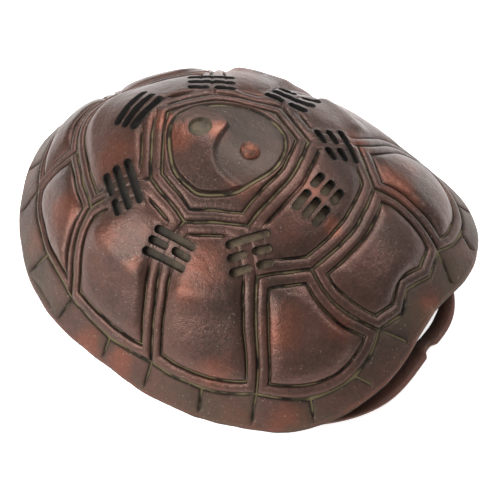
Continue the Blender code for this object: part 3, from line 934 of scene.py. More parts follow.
    def relief(self, flat: Numbers) -> Numbers:
        """What the raised comma and the low one's hollow add to the level.

        Args:
            flat: Rows of chart x, y and level.

        Returns:
            The additions in mm.
        """
        raised = self.raised(flat)
        hollow = self.hollow.strengths(flat) * (1.0 - raised)
        return self.rise * raised - hollow * smooth_step(self.inside_ring(flat), 0.0, self.hollow_margin)

    def eye(self, finish: Material) -> Object:
        """Makes the cutter for the round eye, wider at its mouth than at its floor.

        Args:
            finish: The finish of the eye's inside.

        Returns:
            The cutter.
        """
        mesh = bmesh.new()
        bmesh.ops.create_cone(
            mesh, cap_ends=True, segments=self.eye_segments, depth=self.eye_height,
            radius1=self.eye_floor_radius, radius2=self.eye_mouth_radius,
        )
        place = (*self.eye_centre, self.eye_level + self.eye_height / 2)
        bmesh.ops.translate(mesh, verts=mesh.verts, vec=place)
        return hidden_helper("eye", mesh, finish)

    def boss(self, finish: Material) -> Object:
        """Makes the raised boss, a worn and dented ball half sunk in the low comma.

        Args:
            finish: The boss's finish.

        Returns:
            The boss.
        """
        mesh = bmesh.new()
        around, up = self.boss_segments
        bmesh.ops.create_uvsphere(mesh, u_segments=around, v_segments=up, radius=self.boss_radius)
        for vertex in mesh.verts:
            dents = sum(share * noise.noise(vertex.co * often) for often, share in self.boss_dents)
            vertex.co *= 1.0 + self.boss_dent * dents / self.boss_radius
        bmesh.ops.scale(mesh, verts=mesh.verts, vec=(1.0, 1.0, self.boss_rise / self.boss_radius))
        bmesh.ops.translate(mesh, verts=mesh.verts, vec=(*self.boss_centre, self.low - self.boss_sunk))
        return hidden_helper("boss", mesh, finish)


@dataclass(frozen=True)
class Texture:
    """A noise on object coordinates. Its patches begin at the value start and are whole at full."""

    scale: float
    detail: float
    roughness: float
    seed: float = 0.0
    start: float = 0.0
    full: float = 1.0


class Graph:
    """A new material, and what adds nodes to it and wires them."""

    def __init__(self, name: str) -> None:
        """Starts the material with one set of object coordinates.

        Args:
            name: The material's name.
        """
        self.material = bpy.data.materials.new(name)
        self.material.use_nodes = True
        self.tree = self.material.node_tree
        self.place = self.node("TexCoord", {}, "Object")

    def feed(self, node: Node, inputs: dict[str | int, object]) -> None:
        """Feeds sockets of a node.

        Args:
            node: The node.
            inputs: An output, a number or a colour for each socket.
        """
        for key, value in inputs.items():
            if isinstance(value, NodeSocket):
                self.tree.links.new(value, node.inputs[key])
            else:
                node.inputs[key].default_value = (*value, 1.0) if isinstance(value, tuple) else value

    def node(self, kind: str, inputs: dict[str | int, object], output: str | int,
             **settings: str) -> NodeSocket:
        """Adds a node.

        Args:
            kind: Its type, without the part that all types share.
            inputs: What feeds it.
            output: Which of its outputs is wanted.
            settings: Its own settings, made first.

        Returns:
            The output.
        """
        made = self.tree.nodes.new(f"ShaderNode{kind}")
        for key, value in settings.items():
            setattr(made, key, value)
        self.feed(made, inputs)
        return made.outputs[output]

    def dressed(self, base: object, roughness: object, metallic: float, normal: object) -> Material:
        """Feeds the shader.

        Args:
            base: The base colour.
            roughness: The roughness.
            metallic: The share of metal.
            normal: The bent normal.

        Returns:
            The finished material.
        """
        self.feed(self.tree.nodes["Principled BSDF"], {
            "Base Color": base, "Roughness": roughness, "Metallic": metallic, "Normal": normal,
        })
        return self.material

    def number(self, name: str) -> NodeSocket:
        """Reads one of the numbers that a piece has for each vertex."""
        return self.node("Attribute", {}, "Fac", attribute_name=name)

    def axis(self, name: str) -> NodeSocket:
        """Reads one of the object coordinates, in metres."""
        return self.node("SeparateXYZ", {0: self.place}, name)

    def noise(self, texture: Texture) -> NodeSocket:
        """Adds noise.

        Args:
            texture: Says which; its seed keeps one noise apart from another.

        Returns:
            The noise, about 0.5 on average.
        """
        shift = {"Vector": self.place, "Location": SEED_STEP * texture.seed}
        place = self.node("Mapping", shift, "Vector")
        sizes = {"Scale": texture.scale, "Detail": texture.detail, "Roughness": texture.roughness}
        return self.node("TexNoise", {"Vector": place} | sizes, "Fac")

    def patches(self, texture: Texture) -> NodeSocket:
        """Adds noise that is eased to patches."""
        return self.ramp(self.noise(texture), texture.start, texture.full)

    def ramp(self, value: object, start: float, end: float) -> NodeSocket:
        """Eases from 0 at start to 1 at end.

        Args:
            value: What is read.
            start: Value that gives 0.
            end: Value that gives 1; it may be the smaller one.

        Returns:
            The eased share.
        """
        falling = start > end
        inputs = {
            "Value": value, "From Min": min(start, end), "From Max": max(start, end),
            "To Min": float(falling), "To Max": float(not falling),
        }
        return self.node("MapRange", inputs, "Result", interpolation_type="SMOOTHSTEP")

    def maths(self, operation: str, values: Sequence[object]) -> NodeSocket:
        """Joins values with Math nodes.

        Args:
            operation: What the nodes do.
            values: Two values or more.

        Returns:
            The result.
        """
        def join(one: object, other: object) -> NodeSocket:
            """Joins two of the values."""
            return self.node("Math", {0: one, 1: other}, 0, operation=operation)

        return functools.reduce(join, values)

    def times(self, *values: object) -> NodeSocket:
        """Multiplies values."""
        return self.maths("MULTIPLY", values)

    def sum(self, *values: object) -> NodeSocket:
        """Adds values up."""
        return self.maths("ADD", values)

    def mix(self, one: object, other: object, share: object) -> NodeSocket:
        """Mixes a share of the other colour into the one."""
        return self.node("Mix", {0: share, 6: one, 7: other}, 2, data_type="RGBA")

    def bump(self, height: object, strength: float, distance: float, under: object = None) -> NodeSocket:
        """Adds a Bump node.

        Args:
            height: What it raises.
            strength: How strongly it shows.
            distance: Height of a full step, in metres.
            under: Another bump below it.

        Returns:
            The bent normal.
        """
        below = {} if under is None else {"Normal": under}
        inputs = {"Strength": strength, "Distance": distance, "Height": height}
        return self.node("Bump", inputs | below, "Normal")


@dataclass(frozen=True)
class Bronze:
    """Dark patinated bronze: red-brown where rubbed, olive where dust has settled in the seams, near-black as
    painted shade and grime by the bars and the comma's edge.
    """

    dark: Colour = (0.045, 0.026, 0.020)
    brown: Colour = (0.096, 0.045, 0.033)
    rubbed: Colour = (0.170, 0.050, 0.027)
    copper: Colour = (0.30, 0.13, 0.075)
    # Near-black: patina in the seams, and painted shade with some grime by the bars and down the comma's
    # edge.
    soot_and_shade: Colour = (0.012, 0.009, 0.006)
    olive: Colour = (0.056, 0.043, 0.027)
    ash: Colour = (0.054, 0.041, 0.033)
    thread: Colour = (0.20, 0.160, 0.085)
    dust: Colour = (0.30, 0.26, 0.22)
    metallic: float = 0.62
    roughness: float = 0.24
    clouds: Texture = Texture(42.0, 3.0, 0.55, 0.0, 0.36, 0.62)
    blotches: Texture = Texture(120.0, 5.0, 0.6)
    grain: Texture = Texture(900.0, 4.0, 0.6, 0.0, 0.35, 0.66)
    pits: Texture = Texture(2600.0, 2.0, 0.5)
    mould: Texture = Texture(60.0, 4.0, 0.6, 7.0, 0.42, 0.62)
    settled: Texture = Texture(230.0, 3.0, 0.6, 3.0, 0.4, 0.75)
    broken: Texture = Texture(150.0, 3.0, 0.5, 5.0, 0.38, 0.56)
    specks: Texture = Texture(1500.0, 1.0, 0.4, 9.0, 0.70, 0.76)
    # What blotches and rub add up to, and the sums where the colour starts and is full.
    handled: tuple[float, float, float, float] = (0.6, 0.62, 0.36, 0.78)
    # What grain adds to rub, and the sums where the copper starts and is full.
    bare: tuple[float, float, float] = (0.6, 1.05, 1.6)
    mottled: float = 0.38
    mouldy: float = 0.6
    ashen: float = 0.7
    # How strongly the painted shade and grime by the bars and the comma's edge show.
    grimy_and_shaded: float = 0.6
    threaded: float = 0.8
    specked: float = 0.35
    sunk_levels: tuple[float, float] = (0.9, 0.15)
    thread_levels: tuple[float, float] = (0.32, 0.05)
    dulling: dict[str, float] = field(default_factory=lambda: {
        "blotches": 0.14, "grain": 0.16, "sunk": 0.3, "disc": 0.12, "margin": 0.14,
    })
    # Each bump: strength, and height in metres.
    coarse_bump: tuple[float, float] = (0.4, 0.0012)
    fine_bump: tuple[float, float] = (0.6, 0.0003)
    fine_shares: tuple[float, float] = (0.6, 0.4)

    def layers(self, graph: Graph, made: dict[str, NodeSocket]) -> Iterable[tuple[object, object]]:
        """Lists what lies over the dark metal, from the bottom up.

        Args:
            graph: Adds the nodes.
            made: A piece's numbers, the noises and what is sunk, by name.

        Returns:
            Each layer's colour and its share.
        """
        yield self.brown, graph.patches(self.clouds)
        by_blotches, by_rub, start, full = self.handled
        handled = graph.sum(graph.times(made["blotches"], by_blotches), graph.times(made["rub"], by_rub))
        yield self.rubbed, graph.ramp(handled, start, full)
        by_grain, start, full = self.bare
        bare = graph.sum(made["rub"], graph.times(made["grain"], by_grain))
        yield self.copper, graph.ramp(bare, start, full)
        mottle = graph.ramp(made["grain"], self.grain.start, self.grain.full)
        yield graph.mix(self.dark, self.brown, mottle), self.mottled
        yield self.olive, graph.times(made["margin"], graph.patches(self.mould), self.mouldy)
        yield self.ash, graph.times(made["disc"], self.ashen)
        # Painted shade with some grime, near-black by the bars and down the comma's edge.
        yield self.soot_and_shade, graph.times(made["soil"], self.grimy_and_shaded)
        yield graph.mix(self.soot_and_shade, self.olive, graph.patches(self.settled)), made["sunk"]
        line = graph.ramp(made["level"], *self.thread_levels)
        yield self.thread, graph.times(line, graph.patches(self.broken), self.threaded)
        yield self.dust, graph.times(graph.patches(self.specks), self.specked)

    def material(self, name: str) -> Material:
        """Builds the finish.

        Args:
            name: The material's name.

        Returns:
            The material, which reads the level, rub, margin and disc numbers of a piece, and the one for the
            shade and grime painted by the bars and the comma's edge.
        """
        graph = Graph(name)
        made = {key: graph.number(key) for key in ("level", "rub", "margin", "disc", "soil")}
        made |= {key: graph.noise(getattr(self, key)) for key in ("blotches", "grain", "pits")}
        made["sunk"] = graph.ramp(made["level"], *self.sunk_levels)
        base = self.dark
        for colour, share in self.layers(graph, made):
            base = graph.mix(base, colour, share)
        duller = (graph.times(made[key], share) for key, share in self.dulling.items())
        dull = graph.sum(*duller, self.roughness)
        by_grain, by_pits = self.fine_shares
        relief = graph.sum(graph.times(made["grain"], by_grain), graph.times(made["pits"], by_pits))
        normal = graph.bump(relief, *self.fine_bump, graph.bump(made["blotches"], *self.coarse_bump))
        return graph.dressed(base, dull, self.metallic, normal)


@dataclass(frozen=True)
class PatinaAndShade:
    """The dull lining of cuts: near-black, with olive dust on the floors; the near-black walls, and the cuts
    on the left flank and at the rear, are painted shade.
    """

    # Near-black: patina, and the painted shade of the walls and of the cuts on the left flank and at the
    # rear.
    soot_and_shade: Colour = (0.010, 0.008, 0.006)
    olive: Colour = (0.165, 0.118, 0.070)
    # From painted shade to full dust: y and x in metres, then the least share and what is added to it.
    dust_and_shade_side: tuple[float, float] = (0.016, 0.008)
    dust_and_shade_front: tuple[float, float] = (-0.016, 0.014)
    dust_and_shade_share: tuple[float, float] = (0.12, 0.85)
    eye_dust: float = 0.6
    metallic: float = 0.1
    roughness: float = 0.75
    blotches: Texture = Texture(300.0, 4.0, 0.6, 3.0, 0.3, 0.62)
    blotch_share: tuple[float, float] = (0.4, 0.6)
    # Dust grows from the first level down to the second; the walls above stay near-black as painted shade.
    dust_and_shade_levels: tuple[float, float] = (0.6, -0.2)
    grit: Texture = Texture(1100.0, 4.0, 0.6)
    grit_bump: tuple[float, float] = (0.6, 0.0005)

    def material(self, name: str, dusty: bool = False) -> Material:
        """Builds the finish.

        Args:
            name: The material's name.
            dusty: Whether dust lies evenly all over it, with no painted shade.

        Returns:
            The material.
        """
        graph = Graph(name)
        # Painted shade: the walls, and the cuts on the left flank and at the rear, stay near-black; dust lies
        # on the other floors.
        low_down = graph.ramp(graph.number("level"), *self.dust_and_shade_levels)
        near = (graph.ramp(graph.axis("Y"), *self.dust_and_shade_side), graph.ramp(graph.axis("X"), *self.dust_and_shade_front))
        least, more = self.dust_and_shade_share
        share = self.eye_dust if dusty else graph.times(graph.sum(graph.times(*near, more), least), low_down)
        least, more = self.blotch_share
        patchy = graph.sum(graph.times(graph.patches(self.blotches), more), least)
        base = graph.mix(self.soot_and_shade, self.olive, graph.times(patchy, share))
        normal = graph.bump(graph.noise(self.grit), *self.grit_bump)
        return graph.dressed(base, self.roughness, self.metallic, normal)


@dataclass(frozen=True)
class Copper:
    """Bare rubbed metal, orange-brown with dark hollows."""

    hollow: Colour = (0.075, 0.040, 0.030)
    bare: Colour = (0.19, 0.068, 0.040)
    metallic: float = 0.6
    roughness: float = 0.5
    worn: Texture = Texture(520.0, 4.0, 0.65, 2.0, 0.34, 0.64)
    worn_bump: tuple[float, float] = (0.8, 0.0008)

    def material(self, name: str) -> Material:
        """Builds the finish.

        Args:
            name: The material's name.

        Returns:
            The material.
        """
        graph = Graph(name)
        base = graph.mix(self.hollow, self.bare, graph.patches(self.worn))
        normal = graph.bump(graph.noise(self.worn), *self.worn_bump)
        return graph.dressed(base, self.roughness, self.metallic, normal)


@dataclass
class Carapace:
    """The upper shell."""

    dome: Dome
    finish: Bronze
    patina_and_shade: PatinaAndShade
    copper: Copper
    network: Network = field(default_factory=Network)
    slots: Slots = field(default_factory=Slots)
    disc: Disc = field(default_factory=Disc)
    wall: float = 2.6
    band: float = 2.9
    outside: tuple[float, float] = (-2.2, -1.6)
    narrow_bands: dict[str, float] = field(default_factory=lambda: {
        "crown": 2.5, "vertebral 4": 2.2, "vertebral 5": 1.7, "costal 4": 1.7,
    })
    seam_half: float = 0.75
    seam: tuple[Step, ...] = (Step(0.24, -0.4), Step(0.36, 0.7), Step(0.45, 1.12))
    band_crest: float = 1.34
    groove: tuple[Step, ...] = (Step(0.42, 0.88), Step(0.32, -0.1), Step(0.4, -0.1), Step(0.34, 0.95))
    field_shares: tuple[Point, ...] = ((0.95, 1.4), (0.88, 1.85), (0.72, 2.2), (0.55, 2.35))
    field_crown: float = 2.4
    on_field: tuple[float, float] = (1.3, 2.1)
    bulge_above: float = 1.36
    bulge_softness: int = 3
    margin: tuple[Step, ...] = (Step(0.14, 0.0), Step(0.45, 0.45), Step(0.85, 0.9))
    # The ridge round the crown: reach, width and height. The even ground: near, far and share.
    ridge: tuple[float, float, float] = (50.0, 3.4, 0.85)
    ground: tuple[float, float, float] = (0.2, 2.9, 0.88)
    swells: tuple[Spot, ...] = (
        Spot((0, 51), 12, 0.8), Spot((61, -33), 7, 0.8), Spot((64, 1), 7, 0.6), Spot((60, 27), 7, 0.5),
        Spot((14, -46), 7, 0.5),
    )
    # Each size of the unevenness: how often it turns in a millimetre, how far aside and how far up.
    wander: tuple[tuple[float, float, float], ...] = ((0.11, 0.42, 0.12), (0.33, 0.12, 0.06))
    wander_layers: tuple[float, float, float] = (0.5, 7.8, 15.1)
    longest_edge: float = 11.0
    # Shares of the way to the rim, with levels.
    rim_section: tuple[Point, ...] = (
        (0.994, 0.75), (1.003, 0.2), (1.003, -1.0), (0.992, -2.0), (0.975, -2.4),
    )
    inside_shares: tuple[float, ...] = (0.92, 0.72, 0.42)
    rounding: int = 2
    crease: float = 42.0
    smooth_level: float = 1.2
    rim_rub: tuple[float, float, float] = (0.972, 0.995, 0.7)
    # Painted shade with some grime: its strength down the comma's edge, then from where inside a bar's edge
    # to where outside it it is painted.
    slope_soil: float = 0.9
    slot_soil: tuple[float, float] = (-0.4, 1.1)
    margin_starts: tuple[float, float] = (0.84, 0.9)
    disc_blend: float = 0.6
    rubs: tuple[Spot, ...] = (
        Spot((-24, -41), 9, 0.4), Spot((-10, -47), 4, 0.5), Spot((-31, -17), 10, 0.6),
        Spot((13, -37), 9, 0.55), Spot((12, -48), 7, 0.5), Spot((34, -66), 9, 0.5), Spot((47, -41), 9, 0.6),
        Spot((49, 29), 7, 0.9), Spot((55, 27), 5, 0.7), Spot((31, 1.5), 5, 0.8), Spot((42, -4), 3.5, 1.0),
        Spot((33, -14), 7, 0.4), Spot((84, 0), 6, 1.1), Spot((-46, -36), 7, 0.8), Spot((-14, -6), 6, 0.8),
        Spot((-4.5, 1.5), 3.5, 1.1),
        Spot((12, -10), 6, 0.5), Spot((-23, -2), 5, 0.8), Spot((-5, -80), 7, 0.8), Spot((-22, -80), 8, 0.9),
        Spot((50, -77), 9, 0.8), Spot((66, -64), 9, 0.7), Spot((7.4, 1.1), 3.2, 1.2), Spot((30, 33), 6, 0.7),
        Spot((-61, -48), 8, 0.6), Spot((60, -30), 8, 0.4), Spot((-47, 36), 8, 0.6), Spot((-24, 41), 9, 0.6),
        Spot((10, 60), 9, 0.5), Spot((48, 42), 8, 0.5),
    )

    def close_underneath(self, chart: Chart) -> None:
        """Turns the rim in and lines the inside of the shell.

        Args:
            chart: Holds the outside of the shell.
        """
        edges = [edge for edge in chart.mesh.edges if edge.is_boundary]
        for vertex in {vertex for edge in edges for vertex in edge.verts}:
            bearing = math.atan2(vertex.co.y, vertex.co.x)
            vertex.co.xy = self.dome.toward_rim(bearing, self.network.lip)
        inside = ((share, -self.wall) for share in self.inside_shares)
        for share, level in (*self.rim_section, *inside):
            made = bmesh.ops.extrude_edge_only(chart.mesh, edges=edges)["geom"]
            edges = [part for part in made if isinstance(part, BMEdge)]
            for vertex in (part for part in made if isinstance(part, BMVert)):
                bearing = math.atan2(vertex.co.y, vertex.co.x)
                vertex.co = (*self.dome.toward_rim(bearing, share), level)
        cap = bmesh.ops.contextual_create(chart.mesh, geom=edges)["faces"]
        bmesh.ops.poke(chart.mesh, faces=cap)["verts"][0].co = (0.0, 0.0, -self.wall)

    def draw(self) -> Chart:
        """Draws the whole shell on the chart, with every scute stepped, bulged or carved.

        Returns:
            The chart, a closed body.
        """
        chart = Chart()
        self.network.add_points(chart, self.dome)
        scutes = self.network.scutes(chart)
        margins = self.network.margins(chart)
        chart.step_in(margins, self.margin, crisp=True)
        for name, faces in scutes.items():
            reach = self.seam_half + self.narrow_bands.get(name, self.band)
            flat_band = reach - sum(step.width for step in self.seam) - self.groove[0].width
            crest = (Step(flat_band / 2, self.band_crest), Step(flat_band / 2, self.seam[-1].level))
            chart.step_in(faces, (*self.seam, *crest, *self.groove), crisp=True)
        fields = [face for name, faces in scutes.items() if name != "crown" for face in faces]
        for face in fields:
            kept = 1.0
            for share, level in self.field_shares:
                chart.shrink(face, share / kept, level)
                kept = share
        self.disc.carve(chart, scutes["crown"][0])
        chart.split_long_edges(self.longest_edge)
        for vertex in bmesh.ops.poke(chart.mesh, faces=fields)["verts"]:
            vertex.co.z = self.field_crown
        bulges = [vertex for vertex in chart.mesh.verts if vertex.co.z > self.bulge_above]
        for _ in range(self.bulge_softness):
            bmesh.ops.smooth_vert(
                chart.mesh, verts=bulges, factor=0.5, use_axis_x=True, use_axis_y=True, use_axis_z=True
            )
        self.level_rim(chart)
        self.close_underneath(chart)
        return chart

    def level_rim(self, chart: Chart) -> None:
        """Fills the steps that the marginal scutes' outlines leave along the rim.

        Args:
            chart: Holds the outside of the shell.
        """
        vertices = list(chart.mesh.verts)
        shares = self.dome.rim_share(np.array([vertex.co for vertex in vertices]))
        fill = smooth_step(shares, self.network.seam_end, self.network.seam_end + self.network.margin_rise)
        for vertex, share in zip(vertices, fill):
            vertex.co.z = max(vertex.co.z, float(share) * self.network.margin_level)

    def relief(self, flat: Numbers) -> Numbers:
        """Works out the final levels of the rounded chart.

        Args:
            flat: Rows of chart x, y and level.

        Returns:
            The levels, with even ground round the bars, the ridge, the swells and the commas.
        """
        level = flat[:, 2]
        near, far, share = self.ground
        even = share * self.slots.nearness(flat, near, far) * smooth_step(level, *self.outside)
        on_field = smooth_step(level, *self.on_field)
        reach, width, height = self.ridge
        ridge = height * np.exp(-(((from_crown(flat) - reach) / width) ** 2))
        relief = level + even * np.maximum(self.slots.ground - level, 0.0) + ridge * on_field
        for swell in self.swells:
            relief += swell.strengths(flat) * on_field
        return relief + self.disc.relief(flat) * (level > 0.0)

    def unevenness(self, flat: Numbers) -> Numbers:
        """How far the hand of the maker and the casting have moved each place, at two sizes.

        Args:
            flat: Rows of chart x, y and level.

        Returns:
            The moves, one a row.
        """
        moves = np.zeros_like(flat)
        for often, aside, up in self.wander:
            for axis, (size, layer) in enumerate(zip((aside, aside, up), self.wander_layers)):
                spots = (Vector((x * often, y * often, layer)) for x, y in flat[:, :2])
                moves[:, axis] += size * np.array([noise.noise(spot) for spot in spots])
        return moves

    def wear(self, flat: Numbers) -> dict[str, Numbers]:
        """Works out what the finish needs to know of every vertex.

        Args:
            flat: Rows of chart x, y and level.

        Returns:
            The numbers by name.
        """
        level = flat[:, 2]
        outside = smooth_step(level, *self.outside)
        rim = self.dome.rim_share(flat)
        start, end, strength = self.rim_rub
        rub = strength * smooth_step(rim, start, end)
        for spot in self.rubs:
            rub = np.maximum(rub, spot.strengths(flat))
        on_disc = smooth_step(self.disc.inside_ring(flat), 0.0, self.disc_blend)
        raised = self.disc.raised(flat)
        slope = 4.0 * raised * (1.0 - raised) * on_disc  # 1 halfway up the comma's edge
        # Painted shade with some grime: darkest on and round the bars' walls and halfway down the comma's
        # edge.
        soil = np.maximum(self.slots.nearness(flat, *self.slot_soil), self.slope_soil * slope)
        shown = np.maximum(level, self.smooth_level * on_disc)
        return {
            "soil": soil * outside,
            "level": np.where(level < self.outside[1], self.smooth_level, shown),
            "rub": rub * outside,
            "margin": smooth_step(rim, *self.margin_starts),
            "disc": smooth_step(level, self.disc.low + self.disc_blend, self.disc.low) * on_disc,
        }

    def build(self) -> Object:
        """Makes the piece.

        Returns:
            The shell, in place and dressed.
        """
        shell = self.finish.material("shell_bronze")
        flat = rounded(linked("carapace_chart", self.draw().mesh, shell), self.rounding)
        places = coordinates(flat.data)
        places[:, 2] = self.relief(places)
        move(flat.data, places + self.unevenness(places))
        helpers = {
            self.disc.boss(self.copper.material("boss_copper")): "UNION",
            self.disc.eye(self.patina_and_shade.material("eye_patina", dusty=True)): "DIFFERENCE",
            self.slots.cutter(self.patina_and_shade.material("slot_patina_and_shade")): "DIFFERENCE",
        }
        mesh = combined(flat, helpers)
        places = coordinates(mesh)
        piece = finished("carapace_shell", mesh, self.dome.lift(places), self.wear(places), self.crease)
        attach(piece, "root")
        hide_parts("carapace")
        return piece


@dataclass(frozen=True)
class Station:
    """The under-plate on a bearing in degrees: its upper edge's radius and height, and its foot's radius."""

    turn: float
    edge: float
    height: float
    foot: float


@dataclass
class Plastron:
    """The under-plate: a shallow tray on a flat foot, with an opening behind its front lip."""

    finish: Bronze
    stations: tuple[Station, ...] = (
        Station(0.0, 72.0, 6.3, 60.0), Station(1.2, 72.2, 6.4, 60.2), Station(2.6, 73.7, 6.5, 60.5),
        Station(10.0, 75.0, 6.5, 61.0), Station(17.0, 76.0, 6.5, 61.5), Station(24.0, 75.2, 6.5, 61.5),
        Station(31.0, 73.4, 6.6, 61.0), Station(39.0, 71.0, 7.0, 58.5), Station(46.0, 69.6, 8.2, 55.5),
        Station(53.0, 67.6, 9.0, 52.0), Station(62.0, 64.5, 8.9, 48.5), Station(72.0, 61.6, 9.1, 45.5),
        Station(82.0, 59.0, 9.5, 43.5), Station(92.0, 57.4, 10.0, 42.5), Station(102.0, 56.6, 10.4, 42.5),
        Station(112.0, 57.2, 10.8, 43.5), Station(122.0, 58.0, 11.0, 45.0), Station(131.0, 58.6, 9.6, 46.5),
        Station(140.0, 59.2, 7.2, 48.5), Station(150.0, 60.4, 6.0, 51.0), Station(160.0, 61.4, 5.6, 53.0),
        Station(168.0, 61.6, 5.5, 53.5), Station(174.0, 60.6, 5.4, 53.0), Station(180.0, 58.6, 5.4, 52.5),
    )
    left_edge: dict[float, float] = field(default_factory=lambda: {
        17.0: 73.8, 24.0: 70.6, 31.0: 70.2, 39.0: 70.0,
    })
    # Each ring: share of the way from foot to edge, added radius, share of the height, added height.
    section: tuple[tuple[float, float, float, float], ...] = (
        (0.0, -4.0, 0.0, 0.0), (0.0, -0.6, 0.0, 0.0), (0.0, 0.1, 0.0, 0.05), (0.0, 1.5, 0.0, 0.5),
        (0.5, 0.0, 0.45, -0.405), (1.0, -0.5, 1.0, -1.9), (1.0, 0.25, 1.0, -0.9), (1.0, -0.35, 1.0, 0.1),
        (1.0, -2.35, 1.0, 0.15), (1.0, -4.1, 1.0, -0.1), (1.0, -5.2, 1.0, -1.0),
        (0.5, -4.7, 0.47, 1.316), (0.0, -1.5, 0.0, 2.8), (0.0, -5.0, 0.0, 2.8),
    )
    notch: float = 3.0
    notch_turn: float = 1.0
    notch_crease: float = 0.8
    opening: tuple[Point, ...] = (
        (67.7, 0.0), (68.0, 10.0), (66.6, 18.0), (62.8, 20.5), (52.0, 19.0), (47.0, 13.0), (46.0, 0.0),
    )
    opening_round: float = 1.8
    opening_reach: tuple[float, float] = (-3.0, 15.0)
    # Where rubbing starts and is full, outwards and upwards, and its strength.
    rub: tuple[tuple[float, float], tuple[float, float], float] = ((66.0, 74.0), (3.0, 6.0), 0.55)
    marks: dict[str, float] = field(default_factory=lambda: {
        "level": 1.2, "margin": 0.3, "disc": 0.0, "soil": 0.0,
    })
    rounding: int = 2
    crease: float = 50.0

    def both_sides(self) -> list[Station]:
        """All the stations, once round from the head by the left flank.

        Returns:
            The stations, their bearings from 0 to 360 degrees.
        """
        left = [replace(row, edge=self.left_edge.get(row.turn, row.edge)) for row in self.stations]
        right = [replace(row, turn=360.0 - row.turn) for row in reversed(self.stations[1:-1])]
        return left + right

    def ring(self, rows: list[Station], part: tuple[float, float, float, float]) -> list[Point]:
        """Radius and height of one ring of the section at every station."""
        out, more, up, higher = part
        return [(row.foot + out * (row.edge - row.foot) + more, up * row.height + higher) for row in rows]

    def body(self) -> BMesh:
        """Bridges the section's rings, from the foot's middle over the lip to the floor's middle.

        Returns:
            A closed body in millimetres.
        """
        rows = self.both_sides()
        in_notch = [abs((row.turn + 180.0) % 360.0 - 180.0) < self.notch for row in rows]
        turns = [math.radians(row.turn + self.notch_turn * shifted) for row, shifted in zip(rows, in_notch)]
        mesh = bmesh.new()
        creases = mesh.edges.layers.float.new(CREASE_LAYER)
        rings, loops = [], []
        for part in self.section:
            ring = bmesh.ops.create_circle(mesh, segments=len(turns), radius=1.0)["verts"]
            for vertex, turn, (radius, height) in zip(ring, turns, self.ring(rows, part)):
                vertex.co = (*on_bearing(turn, radius), height)
            rings.append(ring)
            loops.append(list(dict.fromkeys(edge for vertex in ring for edge in vertex.link_edges)))
        for lower, upper in zip(loops, loops[1:]):
            bmesh.ops.bridge_loops(mesh, edges=lower + upper)
        for lower, upper in zip(rings, rings[1:]):
            for below, above, crisp in zip(lower, upper, in_notch):
                if crisp:
                    mesh.edges.get((below, above))[creases] = self.notch_crease
        for loop in (loops[0], loops[-1]):
            cap = bmesh.ops.contextual_create(mesh, geom=loop)["faces"]
            bmesh.ops.poke(mesh, faces=cap)
        return mesh

    def opening_cutter(self, finish: Material) -> Object:
        """Makes the cutter for the opening, with its corners rounded.

        Args:
            finish: The finish of what it lays open.

        Returns:
            The cutter.
        """
        below, tall = self.opening_reach
        mesh = bmesh.new()
        outline = [*self.opening, *((x, -y) for x, y in reversed(self.opening[1:-1]))]
        base = mesh.faces.new([mesh.verts.new((*place, below)) for place in outline])
        bmesh.ops.bevel(
            mesh, geom=list(base.verts), offset=self.opening_round, offset_type="OFFSET", segments=3,
            profile=0.5, affect="VERTICES", material=-1,
        )
        bmesh.ops.translate(mesh, verts=extruded(mesh, list(mesh.faces)), vec=(0.0, 0.0, tall))
        return hidden_helper("opening", mesh, finish)

    def build(self) -> Object:
        """Makes the piece.

        Returns:
            The under-plate, in place and dressed.
        """
        # The plate's bronze is painted lighter than the shell's, as painted light in the shade under the
        # shell.
        bronze = self.finish.material("plate_bronze_painted_lighter")
        body = rounded(linked("plastron_body", self.body(), bronze), self.rounding)
        mesh = combined(body, {self.opening_cutter(bronze): "DIFFERENCE"})
        places = coordinates(mesh)
        places[:, 2] = np.maximum(places[:, 2], 0.0)
        across, up, strength = self.rub
        rub = strength * smooth_step(from_crown(places), *across) * smooth_step(places[:, 2], *up)
        even = {name: np.full(len(places), value) for name, value in self.marks.items()}
        placed = (places + (CENTRE_SHIFT, 0.0, 0.0)) * MM
        piece = finished("plastron_plate", mesh, placed, even | {"rub": rub}, self.crease)
        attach(piece, "root")
        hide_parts("plastron")
        return piece


@dataclass(frozen=True)
class Lamp:
    """A soft rectangular light, aimed at the shell."""

    name: str
    place: tuple[float, float, float]
    size: float
    power: float
    tint: Colour = (1.0, 1.0, 1.0)


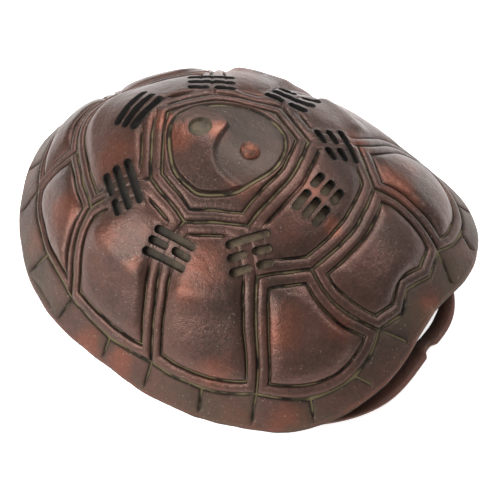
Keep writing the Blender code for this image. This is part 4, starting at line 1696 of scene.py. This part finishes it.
@dataclass
class Studio:
    """The floor, the lights and the camera."""

    azimuth: float = 31.0
    elevation: float = 52.0
    distance: float = 2.79
    lens: float = 648.0
    far_end: float = 20.0
    aim: tuple[float, float] = (6.82, -30.69)
    crown: tuple[float, float, float] = (CENTRE_SHIFT, 0.0, 59.5)
    backdrop: float = 0.35
    white: Colour = (1.0, 1.0, 1.0)
    pale: Colour = (0.9, 0.9, 0.9)
    floor_reach: float = 0.6
    floor_glow: float = 0.8
    floor_roughness: float = 0.9
    lamps: tuple[Lamp, ...] = (
        Lamp("key", (-0.40, -0.70, 0.62), 0.6, 10.6, (1.0, 0.99, 0.98)),
        Lamp("back", (0.30, 0.55, 0.85), 0.5, 5.0, (0.98, 0.985, 1.0)),
        Lamp("top", (-0.34, 0.56, 0.82), 0.5, 7.0, (1.0, 0.99, 0.98)),
        Lamp("fill", (0.25, -0.75, 0.85), 0.6, 0.5),
    )

    def camera(self) -> None:
        """Sets the camera up at the photograph's angle."""
        across, along = self.aim
        right = Vector((*on_bearing(math.radians(self.azimuth), 1.0), 0.0))
        back = Matrix.Rotation(math.radians(self.elevation), 3, -right) @ Vector((right.y, -right.x, 0.0))
        up = back.cross(right)
        centre = (Vector(self.crown) + right * across + up * along) * MM
        data = bpy.data.cameras.new("camera")
        data.lens = self.lens
        data.clip_end = self.far_end
        made = in_scene("camera", data)
        turned = Matrix((right, up, back)).transposed().to_4x4()
        made.matrix_world = Matrix.Translation(centre + back * self.distance) @ turned
        bpy.context.scene.camera = made

    def light(self, lamp: Lamp) -> None:
        """Hangs one lamp, facing the shell.

        Args:
            lamp: The lamp.
        """
        data = bpy.data.lights.new(lamp.name, "AREA")
        data.shape = "SQUARE"
        data.size = lamp.size
        data.energy = lamp.power
        data.color = lamp.tint
        place = Vector(lamp.place)
        turned = place.to_track_quat("Z", "Y").to_matrix().to_4x4()
        in_scene(lamp.name, data).matrix_world = Matrix.Translation(place) @ turned

    def floor(self) -> None:
        """Lays a wide pale floor."""
        mesh = bmesh.new()
        bmesh.ops.create_grid(mesh, x_segments=1, y_segments=1, size=self.floor_reach)
        graph = Graph("pale_floor")
        graph.feed(graph.tree.nodes["Principled BSDF"], {
            "Base Color": self.pale, "Roughness": self.floor_roughness,
            "Emission Color": self.white, "Emission Strength": self.floor_glow,
        })
        linked("floor", mesh, graph.material)

    def build(self) -> None:
        """Builds everything around the shell."""
        scene = bpy.context.scene
        scene.view_settings.view_transform = "Standard"
        scene.world = bpy.data.worlds.new("studio")
        scene.world.use_nodes = True
        background = scene.world.node_tree.nodes["Background"].inputs
        background["Color"].default_value = (*self.white, 1.0)
        background["Strength"].default_value = self.backdrop
        self.floor()
        for lamp in self.lamps:
            self.light(lamp)
        self.camera()


def main() -> None:
    """Builds both pieces in order, and then the studio around them."""
    finish = Bronze()
    # The under-plate's bronze is painted lighter than the shell's, as painted light for the shade it lies in
    # under the shell; it is also less metallic and rougher.
    duller = Bronze(dark=(0.062, 0.040, 0.033), brown=(0.11, 0.060, 0.047), metallic=0.4, roughness=0.33)
    for maker in (Carapace(Dome(), finish, PatinaAndShade(), Copper()), Plastron(duller)):
        piece = maker.build()
        log.info("%s: %d faces", piece.name, len(piece.data.polygons))
    Studio().build()
    log.info("studio ready")


if __name__ == "__main__":
    logging.basicConfig(level=logging.INFO, format="%(name)s: %(message)s")
    main()
